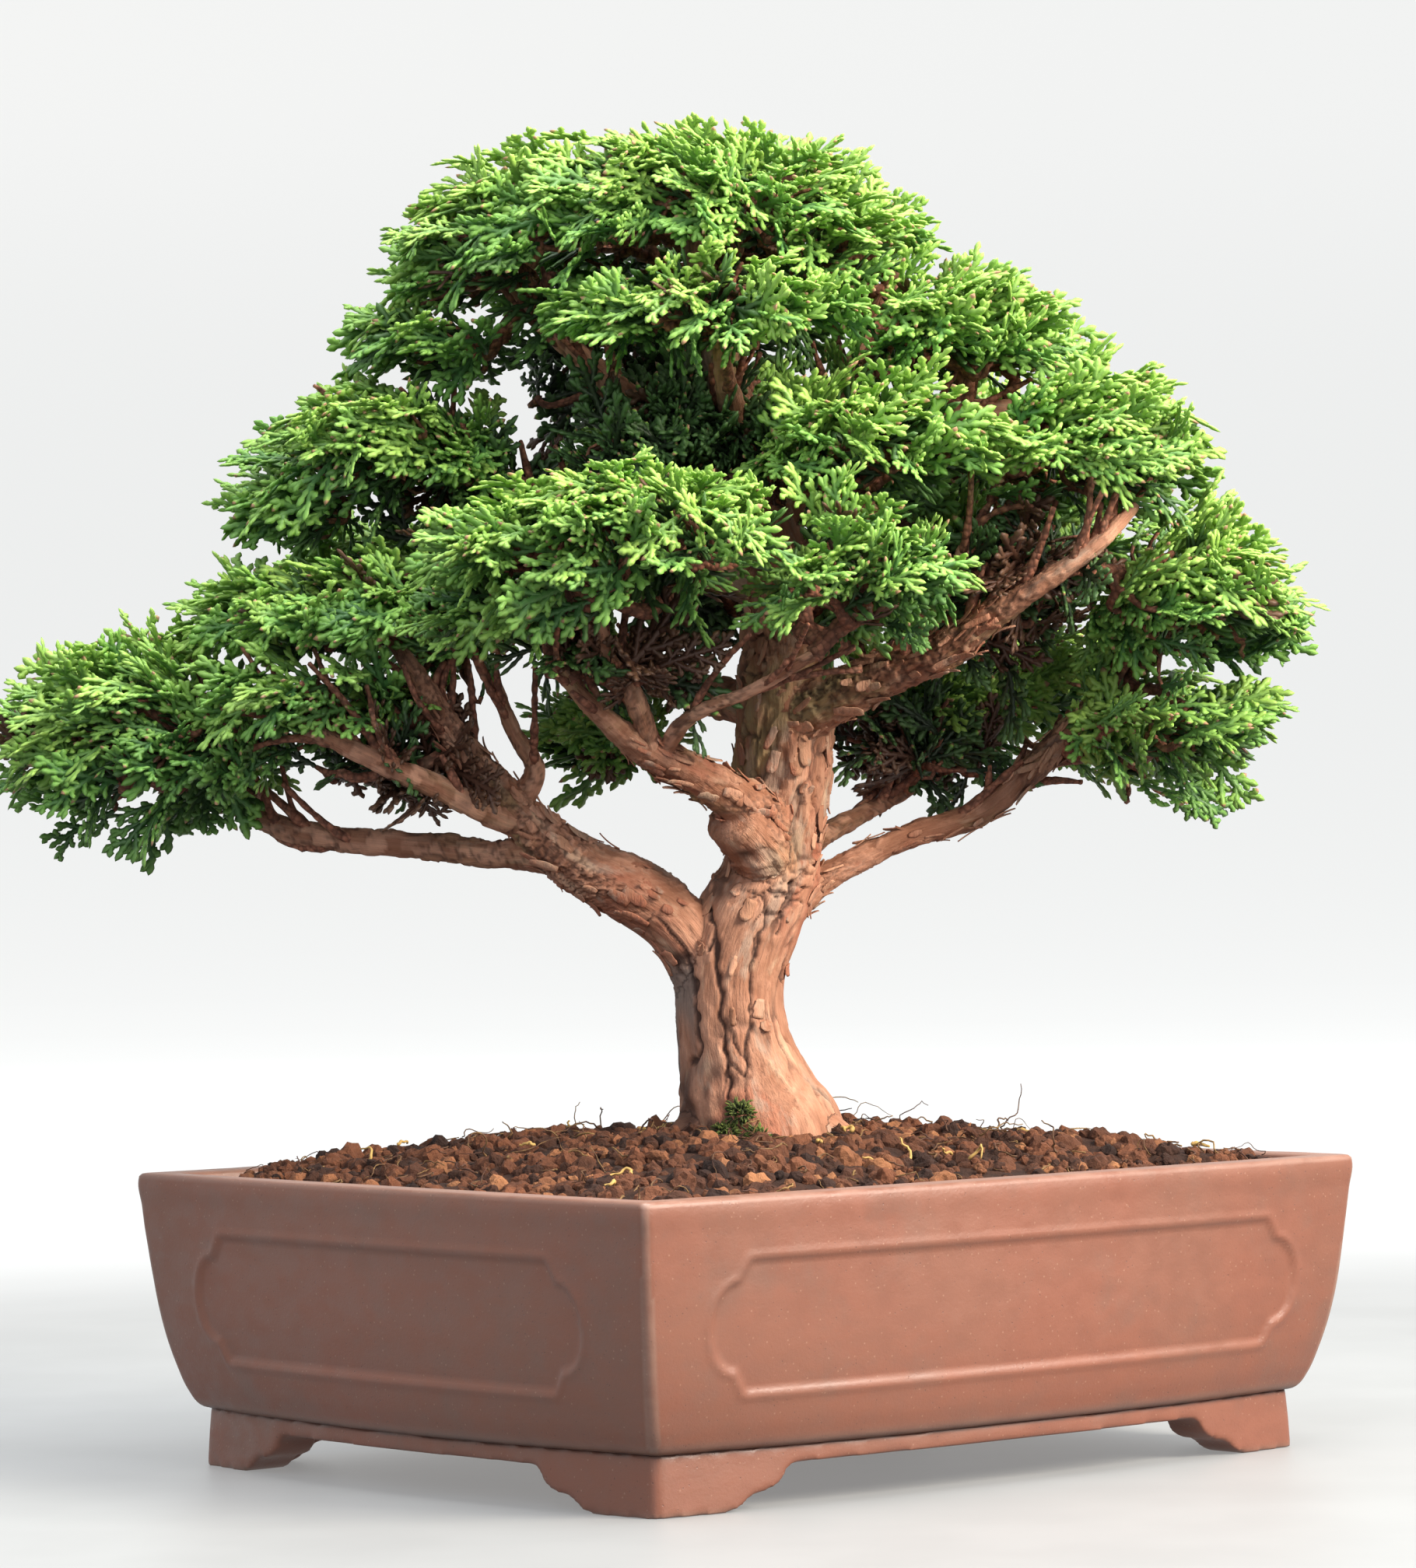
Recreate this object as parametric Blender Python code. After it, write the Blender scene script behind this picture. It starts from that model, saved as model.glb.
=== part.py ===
"""A dwarf hinoki cypress trained as a bonsai, in a rectangular unglazed clay pot.

Lengths are in metres, +Z is up and the pot's feet stand on z = 0. The pot's long side runs along X.
The tree is laid out in a frame of its own, whose front is turned towards one of the pot's corners.
Everything hangs from one empty, which puts the middle of the whole object's box over the origin.
"""

import math

import bmesh
import bpy
from mathutils import Matrix, Vector, noise

MM = 0.001
GAP = 0.3 * MM  # kept between pieces that touch

# Pot: rim size over all, then heights above the ground.
POT_LENGTH = 254.6 * MM
POT_WIDTH = 217.4 * MM
POT_HEIGHT = 80 * MM
SEAM_HEIGHT = 15.8 * MM  # where the bowl meets its plinth
FLOOR_UNDERSIDE = 12.4 * MM
FLOOR_TOP = 19 * MM
RIM_BOW = 1 * MM  # how far the middle of a side stands out past its corners
SEAM_BOW = 8 * MM
CORNER_REACH = 2.8 * MM  # how far each vertical corner's rounding reaches along the sides
SIDE_STEPS = 10
CORNER_STEPS = 3
# (height, inset from the rim's outline) in millimetres, up the outside of the bowl
BOWL_PROFILE = ((15.8, 13), (17.2, 11), (20.5, 9.4), (27.5, 6.9), (40, 4.1), (62, 1.4), (78.8, 0), (80, 0.8))
# the same, up the inside, ending above the rim
INSIDE_PROFILE = ((19, 23), (21, 19), (28, 15.6), (45, 12.4), (80, 9.4), (84, 9.4))
PLINTH_INSETS = (12.8 * MM, 13.6 * MM)  # at the ground, and inside the bowl
PLINTH_THICKNESS = 13 * MM

# Feet: (distance from the plinth's corner, height) in millimetres along a bracket foot's cut edge
FOOT_EDGE = ((22, 0), (25, 1), (29, 3.6), (36, 5.4), (38.5, 7), (41, 10.3), (48.5, 11.3))

# Sunk panels, one on each side of the bowl
PANEL_TOP = 64.2 * MM
PANEL_BOTTOM = 30.5 * MM
PANEL_DEPTH = 0.8 * MM
PANEL_END_REACH = 22.6 * MM  # from the rim's end to the end of a long side's panel
PANEL_SHORT_REACH = 27 * MM  # the same on a short side
PANEL_NOTCH = (12 * MM, 5.6 * MM)  # the stepped corner: along the panel, and up
PANEL_END_BULGE = 8.5 * MM
PANEL_ARC_STEPS = 8

# Drainage
DRAIN_RADIUS = 9 * MM
DRAIN_OFFSET = 58 * MM
SCREEN_SIDE = 32 * MM
SCREEN_THICKNESS = 1 * MM
SCREEN_HOLES = 5
SCREEN_BAR = 1.6 * MM
CLIP_WIRE = 0.6 * MM  # radius
CLIP_SPAN = 6 * MM  # half the distance between the clip's legs

# Soil: (part of the pot's inside that the ring covers, height in millimetres) from wall to trunk
SOIL_TOP = ((1.0, 76), (0.92, 79.5), (0.78, 83), (0.6, 86.5), (0.4, 88.5), (0.2, 89.5))
SOIL_LUMPS = 1.5 * MM
SOIL_LUMP_SPACING = 14 * MM

# Tree: its front is turned about Z from -Y. Points are (right, away, up, radius) in millimetres.
TREE_TURN = math.radians(-40.6)
LIMBS = {
    "trunk": ((3, 0, 58, 16), (4, 0, 74, 22), (4, 0, 87, 23.5), (1, 0, 98, 19.5), (-2, 0, 111, 16),
              (-3.5, 0, 122, 15), (-3, 0, 133, 15), (1.5, 0, 146, 14.6), (8, 0, 160, 13), (10, 0, 174, 13),
              (12.5, 0, 195, 13.3), (13, 0, 211, 12.6), (12.5, 0, 228, 10.8), (10, 1, 249, 9),
              (5, 1, 271, 7.3), (-2, 0, 296, 5.6), (-8, 0, 324, 3.9), (-12, 0, 345, 2)),
    "root_right": ((8, -4, 95, 9), (22, -8, 87, 7), (34, -12, 79, 5), (47, -16, 66, 2.5)),
    "root_left": ((-5, -4, 94, 9), (-16, -9, 85, 7), (-29, -14, 73, 5), (-42, -22, 60, 2.5)),
    "root_front": ((2, -10, 92, 8), (5, -22, 82, 6), (10, -36, 68, 3)),
    "root_back": ((4, 10, 94, 9), (0, 24, 84, 6.5), (-8, 42, 70, 3)),
    "root_back_right": ((12, 8, 93, 8), (26, 19, 83, 6), (40, 32, 68, 3)),
    "left": ((-9, 0, 118, 8), (-11, -1, 133, 9), (-18, -4, 146, 9.2), (-31, -8, 156, 9), (-44, -12, 163, 8),
             (-52, -14, 169, 7), (-60, -16, 177.5, 5.8), (-71, -20, 190, 4.8), (-79, -24, 201, 3.8),
             (-87, -28, 215, 2.7), (-96, -28, 228, 1.8)),
    "left_low": ((-48, -13, 166, 5.6), (-65, -10, 166, 4.1), (-82, -5, 168, 3.7), (-106, 0, 170.5, 3.7),
                 (-124, 5, 173.5, 3.4), (-139, 9, 180, 2.5), (-155, 10, 189, 1.7)),
    "left_scaly": ((-58, -15, 173, 4), (-70, -22, 178, 3.6), (-81, -28, 184, 3.3), (-98, -36, 192, 2.8),
                   (-114, -38, 200, 2.3), (-131, -34, 207, 1.8)),
    "left_snag": ((-60, -16, 178, 3.2), (-56, -18, 190, 2.8), (-61, -20, 199, 2.3), (-66, -22, 212, 1.7)),
    "knob": ((9, 0, 160, 8), (3, -14, 169, 8.8), (-2, -21, 175, 8.2)),
    "front_limb": ((11, -2, 170, 8), (3, -16, 177, 7), (-6, -28, 183, 6), (-15.5, -36, 188.5, 5.2),
                   (-25, -42, 193, 4.4), (-34, -48, 200, 3.2), (-43, -54, 209, 2.3), (-50, -60, 219, 1.6)),
    "front_fork": ((-23, -41, 192, 3.6), (-28.5, -52, 208, 2.7), (-35, -60, 219, 2.1), (-38, -68, 233, 1.6)),
    "front_twig": ((-21, -40, 192, 2.6), (-13, -50, 202, 2), (2, -56, 208, 1.7), (20, -62, 217.5, 1.5)),
    "right_low": ((10, 3, 146, 5.5), (20.5, 8, 156.5, 4.3), (34, 14, 163.5, 3.5), (46, 20, 169, 3.6),
                  (67, 28, 175.5, 3.8), (81, 32, 186.5, 3.9), (92, 36, 197, 4), (108, 38, 212.5, 3),
                  (123, 34, 228, 2), (133, 28, 239, 1.6)),
    "right_second": ((12, 10, 160, 4.5), (22, 24, 169, 3.1), (35, 34, 176, 2.7), (48, 46, 183, 2.4),
                     (62, 56, 194, 2.2), (78, 66, 205, 1.8)),
    "right_upper": ((12, -2, 200, 9), (27, -12, 208, 7), (44, -20, 215, 6.1), (57, -26, 220, 5.5),
                    (67.5, -30, 227.5, 4), (82, -34, 236.5, 3), (97, -34, 247, 2.3), (108, -28, 258, 1.7)),
    "right_twig": ((42, -18, 214, 4), (51, -20, 228, 2.9), (58.5, -24, 240.5, 2.2), (65, -26, 254, 1.6)),
    "shoulder": ((12, 0, 232, 7), (36, -4, 262, 5), (60, -6, 284, 4), (84, -8, 284, 3), (104, -8, 280, 1.8)),
    "apex_left": ((7, 0, 264, 6), (-20, -4, 284, 4), (-45, -2, 305, 3), (-62, 2, 324, 1.8)),
    "apex_right": ((9, 1, 252, 6), (26, 4, 284, 4), (38, 5, 308, 3), (46, 5, 326, 1.8)),
    "apex_front": ((2, -2, 278, 5), (-2, -24, 292, 3), (-4, -44, 306, 1.8)),
    "left_upper": ((12, 1, 236, 7), (-20, 6, 250, 5), (-54, 6, 264, 4), (-80, 4, 276, 3),
                   (-100, 4, 282, 1.8)),
    "back": ((12, 3, 212, 7), (6, 40, 236, 5), (4, 68, 254, 3.5), (6, 88, 268, 1.8)),
    "back_right": ((13, 4, 198, 7), (40, 38, 216, 4.5), (62, 62, 238, 3.3), (76, 74, 262, 1.8)),
    "back_left": ((10, 4, 204, 7), (-22, 34, 214, 4.5), (-54, 56, 226, 3.3), (-84, 68, 236, 1.8)),
    "back_top": ((4, 2, 272, 5), (0, 34, 300, 3), (-6, 58, 324, 1.8)),
    "back_low": ((8, 5, 176, 5), (-12, 26, 187, 3), (-34, 42, 199, 1.8)),
}
LIMB_SIDES = 3  # a curve's bevel resolution on the trunk; a thin limb gets less
LIMB_STEPS = 2  # steps from one point to the next

# Foliage pads: (right, away, up) of the middle and the three half sizes, in millimetres
PADS = (
    ("apex", -21, 0, 339, 56, 54, 29),
    ("apex_left", -63, 4, 327, 31, 40, 24),
    ("apex_right", 27, 4, 326, 26, 42, 26),
    ("shoulder_upper", 58, -4, 303, 34, 46, 24),
    ("shoulder_lower", 96, -6, 274, 32, 44, 26),
    ("centre_right", 38, -42, 274, 32, 32, 23),
    ("apex_front", -7, -44, 311, 40, 30, 16),
    ("left_shoulder", -81, 4, 308, 24, 30, 14),
    ("left_upper", -95, 0, 277, 33, 42, 23),
    ("left_upper_tip", -119, 10, 264, 21, 30, 17),
    ("left_middle", -109, -8, 230, 43, 44, 21),
    ("front", -29, -72, 247, 51, 40, 24),
    ("front_right", 30, -62, 238, 29, 34, 25),
    ("front_left", -55, -58, 229, 27, 30, 18),
    ("left_low", -164, 0, 198, 40, 42, 31),
    ("left_low_upper", -119, -10, 211, 35, 38, 21),
    ("right_outer_upper", 128, 8, 232, 30, 44, 29),
    ("right_outer_lower", 122, 28, 198, 30, 42, 25),
    ("right_middle", 82, 34, 249, 31, 38, 22),
    ("right_back_low", 67, 76, 208, 41, 36, 25),
    ("back_top", -14, 62, 338, 48, 36, 29),
    ("back_middle", -2, 84, 274, 52, 40, 32),
    ("back_left", -98, 70, 240, 38, 38, 24),
    ("back_right", 76, 80, 272, 41, 38, 29),
    ("back_low", -41, 46, 200, 20, 28, 15),
)
PAD_FLOOR = 0.85  # a pad is a little flatter below its middle than above it
PAD_LUMPS = 0.12  # part of a pad's size
PAD_LUMP_SPACING = 30 * MM
MOSS = (0, -24, 88.5, 8, 6, 4.5)  # a tuft on the soil against the front of the trunk


def clear_scene():
    for thing in list(bpy.data.objects):
        bpy.data.objects.remove(thing, do_unlink=True)


def new_collection(name):
    made = bpy.data.collections.new(name)
    bpy.context.scene.collection.children.link(made)
    return made


def material(name, color, roughness):
    """A plain non-metal finish."""
    made = bpy.data.materials.new(name)
    made.use_nodes = True
    shader = made.node_tree.nodes["Principled BSDF"]
    shader.inputs["Base Color"].default_value = (*color, 1)
    shader.inputs["Roughness"].default_value = roughness
    return made


def new_object(name, mesh, collection, parent, turn=0.0):
    made = bpy.data.objects.new(name, mesh)
    collection.objects.link(made)
    made.parent = parent
    made.rotation_euler.z = turn
    return made


def as_cutter(thing):
    thing.hide_render = True
    thing.display_type = "WIRE"
    return thing


def mesh_from(name, shape):
    """Turn a finished bmesh into a mesh, its faces pointing out."""
    bmesh.ops.recalc_face_normals(shape, faces=shape.faces)
    mesh = bpy.data.meshes.new(name)
    shape.to_mesh(mesh)
    shape.free()
    return mesh


def boolean(target, other, operation="DIFFERENCE"):
    modifier = target.modifiers.new(operation.title(), "BOOLEAN")
    modifier.operation = operation
    modifier.solver = "EXACT"
    modifier.object = other


def bake(target):
    """Replace the mesh by what its modifiers make of it, and drop loose scraps of it."""
    bpy.context.view_layer.update()
    seen = target.evaluated_get(bpy.context.evaluated_depsgraph_get())
    mesh = bpy.data.meshes.new_from_object(seen)
    target.modifiers.clear()
    target.data = mesh
    shape = bmesh.new()
    shape.from_mesh(mesh)
    islands = connected_parts(shape)
    islands.sort(key=len)
    scraps = [vertex for island in islands[:-1] for vertex in island]
    bmesh.ops.delete(shape, geom=scraps, context="VERTS")
    shape.to_mesh(mesh)
    shape.free()


def connected_parts(shape):
    """The vertices of each connected part of a bmesh."""
    left = set(shape.verts)
    parts = []
    while left:
        part = [left.pop()]
        for vertex in part:
            for edge in vertex.link_edges:
                other = edge.other_vert(vertex)
                if other in left:
                    left.remove(other)
                    part.append(other)
        parts.append(part)
    return parts


def loft(name, rings):
    """Skin closed rings of equally many points, bottom to top, and close both ends."""
    shape = bmesh.new()
    made = [[shape.verts.new(point) for point in ring] for ring in rings]
    count = len(made[0])
    for lower, upper in zip(made, made[1:]):
        for i in range(count):
            j = (i + 1) % count
            shape.faces.new((lower[i], lower[j], upper[j], upper[i]))
    shape.faces.new(reversed(made[0]))
    shape.faces.new(made[-1])
    return mesh_from(name, shape)


def prism(name, outline, thickness, placing):
    """A flat outline given thickness along its own Z, half each way, then placed by a matrix."""
    curve = bpy.data.curves.new(name, "CURVE")
    curve.dimensions = "2D"
    curve.fill_mode = "BOTH"
    curve.extrude = thickness / 2
    spline = curve.splines.new("POLY")
    spline.points.add(len(outline) - 1)
    for point, (x, y) in zip(spline.points, outline):
        point.co = (x, y, 0, 1)
    spline.use_cyclic_u = True
    return mesh_of_curve(curve, placing)


def mesh_of_curve(curve, placing=Matrix()):
    """The closed mesh of a curve, its caps welded to its sides."""
    holder = bpy.data.objects.new(curve.name, curve)
    bpy.context.scene.collection.objects.link(holder)
    bpy.context.view_layer.update()
    seen = holder.evaluated_get(bpy.context.evaluated_depsgraph_get())
    mesh = bpy.data.meshes.new_from_object(seen)
    bpy.data.objects.remove(holder, do_unlink=True)
    shape = bmesh.new()
    shape.from_mesh(mesh)
    bmesh.ops.remove_doubles(shape, verts=shape.verts, dist=0.01 * MM)
    bmesh.ops.transform(shape, matrix=placing, verts=shape.verts)
    bpy.data.meshes.remove(mesh)
    return mesh_from(curve.name, shape)


def box_mesh(name, size, middle):
    shape = bmesh.new()
    bmesh.ops.create_cube(shape, size=1)
    bmesh.ops.scale(shape, vec=size, verts=shape.verts)
    bmesh.ops.translate(shape, vec=middle, verts=shape.verts)
    return mesh_from(name, shape)


def inset_at(profile, height):
    """How far in from the rim's outline the wall is at a height, in metres."""
    level = height / MM
    for (low, low_inset), (high, high_inset) in zip(profile, profile[1:]):
        if level <= high:
            part = max(0.0, (level - low) / (high - low))
            return (low_inset + part * (high_inset - low_inset)) * MM
    return profile[-1][1] * MM


def pot_ring(inset, height, spread=1.0):
    """The pot's plan at a height, moved in from the rim's outline and scaled by spread."""
    part = (height - SEAM_HEIGHT) / (POT_HEIGHT - SEAM_HEIGHT)
    bow = SEAM_BOW + (RIM_BOW - SEAM_BOW) * min(1.0, max(0.0, part))
    half_length = (POT_LENGTH / 2 - inset) * spread
    half_width = (POT_WIDTH / 2 - inset) * spread
    outline = bowed_outline(half_length, half_width, bow * spread)
    return [Vector((x, y, height)) for x, y in outline]


def bowed_outline(half_length, half_width, bow):
    """Four sides that bow outwards, and rounded corners, anticlockwise from the front left."""
    signs = ((-1, -1), (1, -1), (1, 1), (-1, 1))
    corners = [Vector((sx * half_length, sy * half_width)) for sx, sy in signs]
    sides = []
    for start, end in zip(corners, corners[1:] + corners[:1]):
        along = end - start
        outwards = Vector((along.y, -along.x)).normalized()
        margin = CORNER_REACH / along.length
        side = []
        for step in range(SIDE_STEPS + 1):
            t = margin + (1 - 2 * margin) * step / SIDE_STEPS
            side.append(start + along * t + outwards * bow * (1 - (2 * t - 1) ** 2))
        sides.append(side)
    outline = []
    for index, side in enumerate(sides):
        following = (index + 1) % 4
        outline += side
        outline += rounding(side[-1], corners[following], sides[following][0])
    return outline


def rounding(start, corner, end):
    """The points between start and end of a curve that the corner pulls outwards."""
    points = []
    for step in range(1, CORNER_STEPS):
        t = step / CORNER_STEPS
        points.append(start * (1 - t) ** 2 + corner * 2 * t * (1 - t) + end * t**2)
    return points


def bowl_rings(profile, deeper=0.0):
    return [pot_ring(inset * MM + deeper, height * MM) for height, inset in profile]


def foot_gap(half_side):
    """The opening between two bracket feet on a side, from its middle, with the ground at 0."""
    right = [(half_side - reach * MM, height * MM) for reach, height in FOOT_EDGE]
    left = [(-x, height) for x, height in reversed(right)]
    below = -5 * MM
    return [(right[0][0], below)] + right + left + [(left[-1][0], below)]


def panel_outline(half_side):
    """A sunk panel: straight top and bottom, stepped corners and ends that bulge."""
    step_along, step_up = PANEL_NOTCH
    straight = half_side - step_along
    bend = half_side - PANEL_END_BULGE
    low = PANEL_BOTTOM + step_up
    high = PANEL_TOP - step_up
    right = [(straight, PANEL_BOTTOM)]
    for step in range(PANEL_ARC_STEPS + 1):
        angle = math.pi * (step / PANEL_ARC_STEPS - 0.5)
        x = bend + PANEL_END_BULGE * math.cos(angle)
        right.append((x, (low + high) / 2 + (high - low) / 2 * math.sin(angle)))
    right.append((straight, PANEL_TOP))
    left = [(-x, z) for x, z in reversed(right)]
    return right + left


def build_pot(parts, cutters, root):
    """Bowl and plinth fired as one piece, with drain holes, bracket feet and sunk panels."""
    pot = new_object("pot", loft("pot", bowl_rings(BOWL_PROFILE)), parts, root)
    plinth_rings = [
        pot_ring(PLINTH_INSETS[0], 0.0),
        pot_ring(PLINTH_INSETS[1], SEAM_HEIGHT + 1 * MM),
    ]
    plinth = new_object("plinth", loft("plinth", plinth_rings), cutters, root)
    boolean(pot, as_cutter(plinth), "UNION")
    inner = PLINTH_INSETS[0] + PLINTH_THICKNESS
    hollow_rings = [pot_ring(inner, -1 * MM), pot_ring(inner, FLOOR_UNDERSIDE)]
    hollow = new_object("plinth_hollow", loft("plinth_hollow", hollow_rings), cutters, root)
    inside = new_object("inside", loft("inside", bowl_rings(INSIDE_PROFILE)), cutters, root)
    tools = [hollow, inside]

    half_length = POT_LENGTH / 2 - PLINTH_INSETS[0]
    half_width = POT_WIDTH / 2 - PLINTH_INSETS[0]
    upright = Matrix.Rotation(math.pi / 2, 4, "X")
    sideways = Matrix.Rotation(math.pi / 2, 4, "Z") @ upright
    reach = 2 * POT_LENGTH
    for name, half_side, placing in (("gap_long", half_length, upright), ("gap_short", half_width, sideways)):
        mesh = prism(name, foot_gap(half_side), reach, placing)
        tools.append(new_object(name, mesh, cutters, root))

    for side in (-1, 1):
        shape = bmesh.new()
        bmesh.ops.create_cone(
            shape,
            cap_ends=True,
            segments=24,
            radius1=DRAIN_RADIUS,
            radius2=DRAIN_RADIUS,
            depth=4 * FLOOR_TOP,
            matrix=Matrix.Translation((side * DRAIN_OFFSET, 0, 0)),
        )
        tools.append(new_object("drain_hole", mesh_from("drain_hole", shape), cutters, root))

    core = new_object("panel_bed", loft("panel_bed", bowl_rings(BOWL_PROFILE, PANEL_DEPTH)), cutters, root)
    as_cutter(core)
    long_half = POT_LENGTH / 2 - PANEL_END_REACH
    short_half = POT_WIDTH / 2 - PANEL_SHORT_REACH
    for name, half_side, offset, placing in (
        ("panel_front", long_half, Vector((0, -POT_WIDTH / 2, 0)), upright),
        ("panel_back", long_half, Vector((0, POT_WIDTH / 2, 0)), upright),
        ("panel_right", short_half, Vector((POT_LENGTH / 2, 0, 0)), sideways),
        ("panel_left", short_half, Vector((-POT_LENGTH / 2, 0, 0)), sideways),
    ):
        placed = Matrix.Translation(offset) @ placing
        mesh = prism(name, panel_outline(half_side), 40 * MM, placed)
        panel = new_object(name, mesh, cutters, root)
        boolean(panel, core)
        tools.append(panel)

    for tool in tools:
        boolean(pot, as_cutter(tool))
    bake(pot)
    return pot


def build_screens(parts, cutters, root):
    """A mesh over each drain hole and the bent wire that holds it there."""
    pitch = (SCREEN_SIDE - SCREEN_BAR) / SCREEN_HOLES
    level = FLOOR_TOP + GAP + SCREEN_THICKNESS / 2
    for side, word in ((-1, "left"), (1, "right")):
        middle = Vector((side * DRAIN_OFFSET, 0, level))
        size = (SCREEN_SIDE, SCREEN_SIDE, SCREEN_THICKNESS)
        screen = new_object(f"drain_screen_{word}", box_mesh("drain_screen", size, middle), parts, root)
        holes = bmesh.new()
        for column in range(SCREEN_HOLES):
            for row in range(SCREEN_HOLES):
                place = Vector((column - (SCREEN_HOLES - 1) / 2, row - (SCREEN_HOLES - 1) / 2, 0)) * pitch
                hole = Matrix.Translation(middle + place)
                bmesh.ops.create_cube(holes, size=pitch - SCREEN_BAR, matrix=hole)
        tool = new_object("screen_holes", mesh_from("screen_holes", holes), cutters, root)
        boolean(screen, as_cutter(tool))
        screen.data.materials.append(material(f"black_mesh_{word}", (0.02, 0.02, 0.02), 0.6))

        over = level + SCREEN_THICKNESS / 2 + GAP + CLIP_WIRE
        under = FLOOR_UNDERSIDE - GAP - CLIP_WIRE
        toe = pitch + 7 * MM
        route = [(-toe, under), (-pitch, under), (-pitch, over), (pitch, over), (pitch, under), (toe, under)]
        curve = bpy.data.curves.new(f"screen_clip_{word}", "CURVE")
        curve.dimensions = "3D"
        curve.bevel_depth = CLIP_WIRE
        curve.bevel_resolution = 1
        curve.use_fill_caps = True
        spline = curve.splines.new("POLY")
        spline.points.add(len(route) - 1)
        for point, (x, z) in zip(spline.points, route):
            point.co = (side * DRAIN_OFFSET + x, 0, z, 1)
        clip = new_object(f"screen_clip_{word}", mesh_of_curve(curve), parts, root)
        clip.data.materials.append(material(f"aluminium_wire_{word}", (0.45, 0.35, 0.25), 0.4))


def limb_mesh(name, points, extra):
    """A smooth tapering tube through the points, made thicker and longer by extra."""
    path = [Vector(point[:3]) * MM for point in points]
    path[0] += (path[0] - path[1]).normalized() * extra
    path[-1] += (path[-1] - path[-2]).normalized() * extra
    thickest = max(point[3] for point in points)
    curve = bpy.data.curves.new(name, "CURVE")
    curve.dimensions = "3D"
    curve.bevel_depth = 1.0
    curve.bevel_resolution = LIMB_SIDES if thickest > 12 else LIMB_SIDES - 1 if thickest > 5 else 1
    curve.resolution_u = LIMB_STEPS
    curve.use_fill_caps = True
    spline = curve.splines.new("BEZIER")
    spline.bezier_points.add(len(path) - 1)
    for knot, place, point in zip(spline.bezier_points, path, points):
        knot.co = place
        knot.radius = point[3] * MM + extra
        knot.handle_left_type = knot.handle_right_type = "AUTO"
    return mesh_of_curve(curve)


def build_wood(name, collection, cutters, root, extra=0.0):
    """Trunk, roots and limbs grown together: one solid."""
    wood = new_object(name, limb_mesh(name, LIMBS["trunk"], extra), collection, root, TREE_TURN)
    for limb, points in LIMBS.items():
        if limb != "trunk":
            part = new_object(f"{name}_{limb}", limb_mesh(limb, points, extra), cutters, root, TREE_TURN)
            boolean(wood, as_cutter(part), "UNION")
    bake(wood)
    return wood


def blob_mesh(name, spec, extra=0.0):
    """A lumpy cushion, flatter below than above, its half sizes made larger by extra."""
    middle = Vector(spec[:3]) * MM
    half = Vector(spec[3:]) * MM
    shape = bmesh.new()
    bmesh.ops.create_icosphere(shape, subdivisions=2, radius=1)
    for vertex in shape.verts:
        way = vertex.co.copy()
        surface = Vector((way.x * half.x, way.y * half.y, way.z * half.z))
        lump = 1 + PAD_LUMPS * noise.noise((middle + surface) / PAD_LUMP_SPACING)
        if way.z < 0:
            surface.z *= PAD_FLOOR + (1 - PAD_FLOOR) * (1 + way.z)
        outwards = Vector((way.x, way.y, way.z)) * extra
        vertex.co = middle + surface * lump + outwards
    return mesh_from(name, shape)


def reach_of(spec):
    return Vector(spec[:3]) * MM, max(spec[3:]) * MM * (1 + PAD_LUMPS) + GAP


def build_foliage(parts, cutters, root, clearance):
    """Foliage pads that wrap the limbs and meet each other with a thin gap."""
    green = material("foliage_green", (0.07, 0.2, 0.04), 0.6)
    guards = []
    for name, *spec in PADS:
        pad = new_object(f"foliage_{name}", blob_mesh(name, spec), parts, root, TREE_TURN)
        middle, reach = reach_of(spec)
        for other_middle, other_reach, guard in guards:
            if (middle - other_middle).length < reach + other_reach:
                boolean(pad, guard)
        boolean(pad, clearance)
        bake(pad)
        pad.data.materials.clear()
        pad.data.materials.append(green)
        guard_mesh = blob_mesh(f"{name}_guard", spec, 1.5 * GAP)
        guard = new_object(f"guard_{name}", guard_mesh, cutters, root, TREE_TURN)
        guards.append((middle, reach, as_cutter(guard)))


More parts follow.
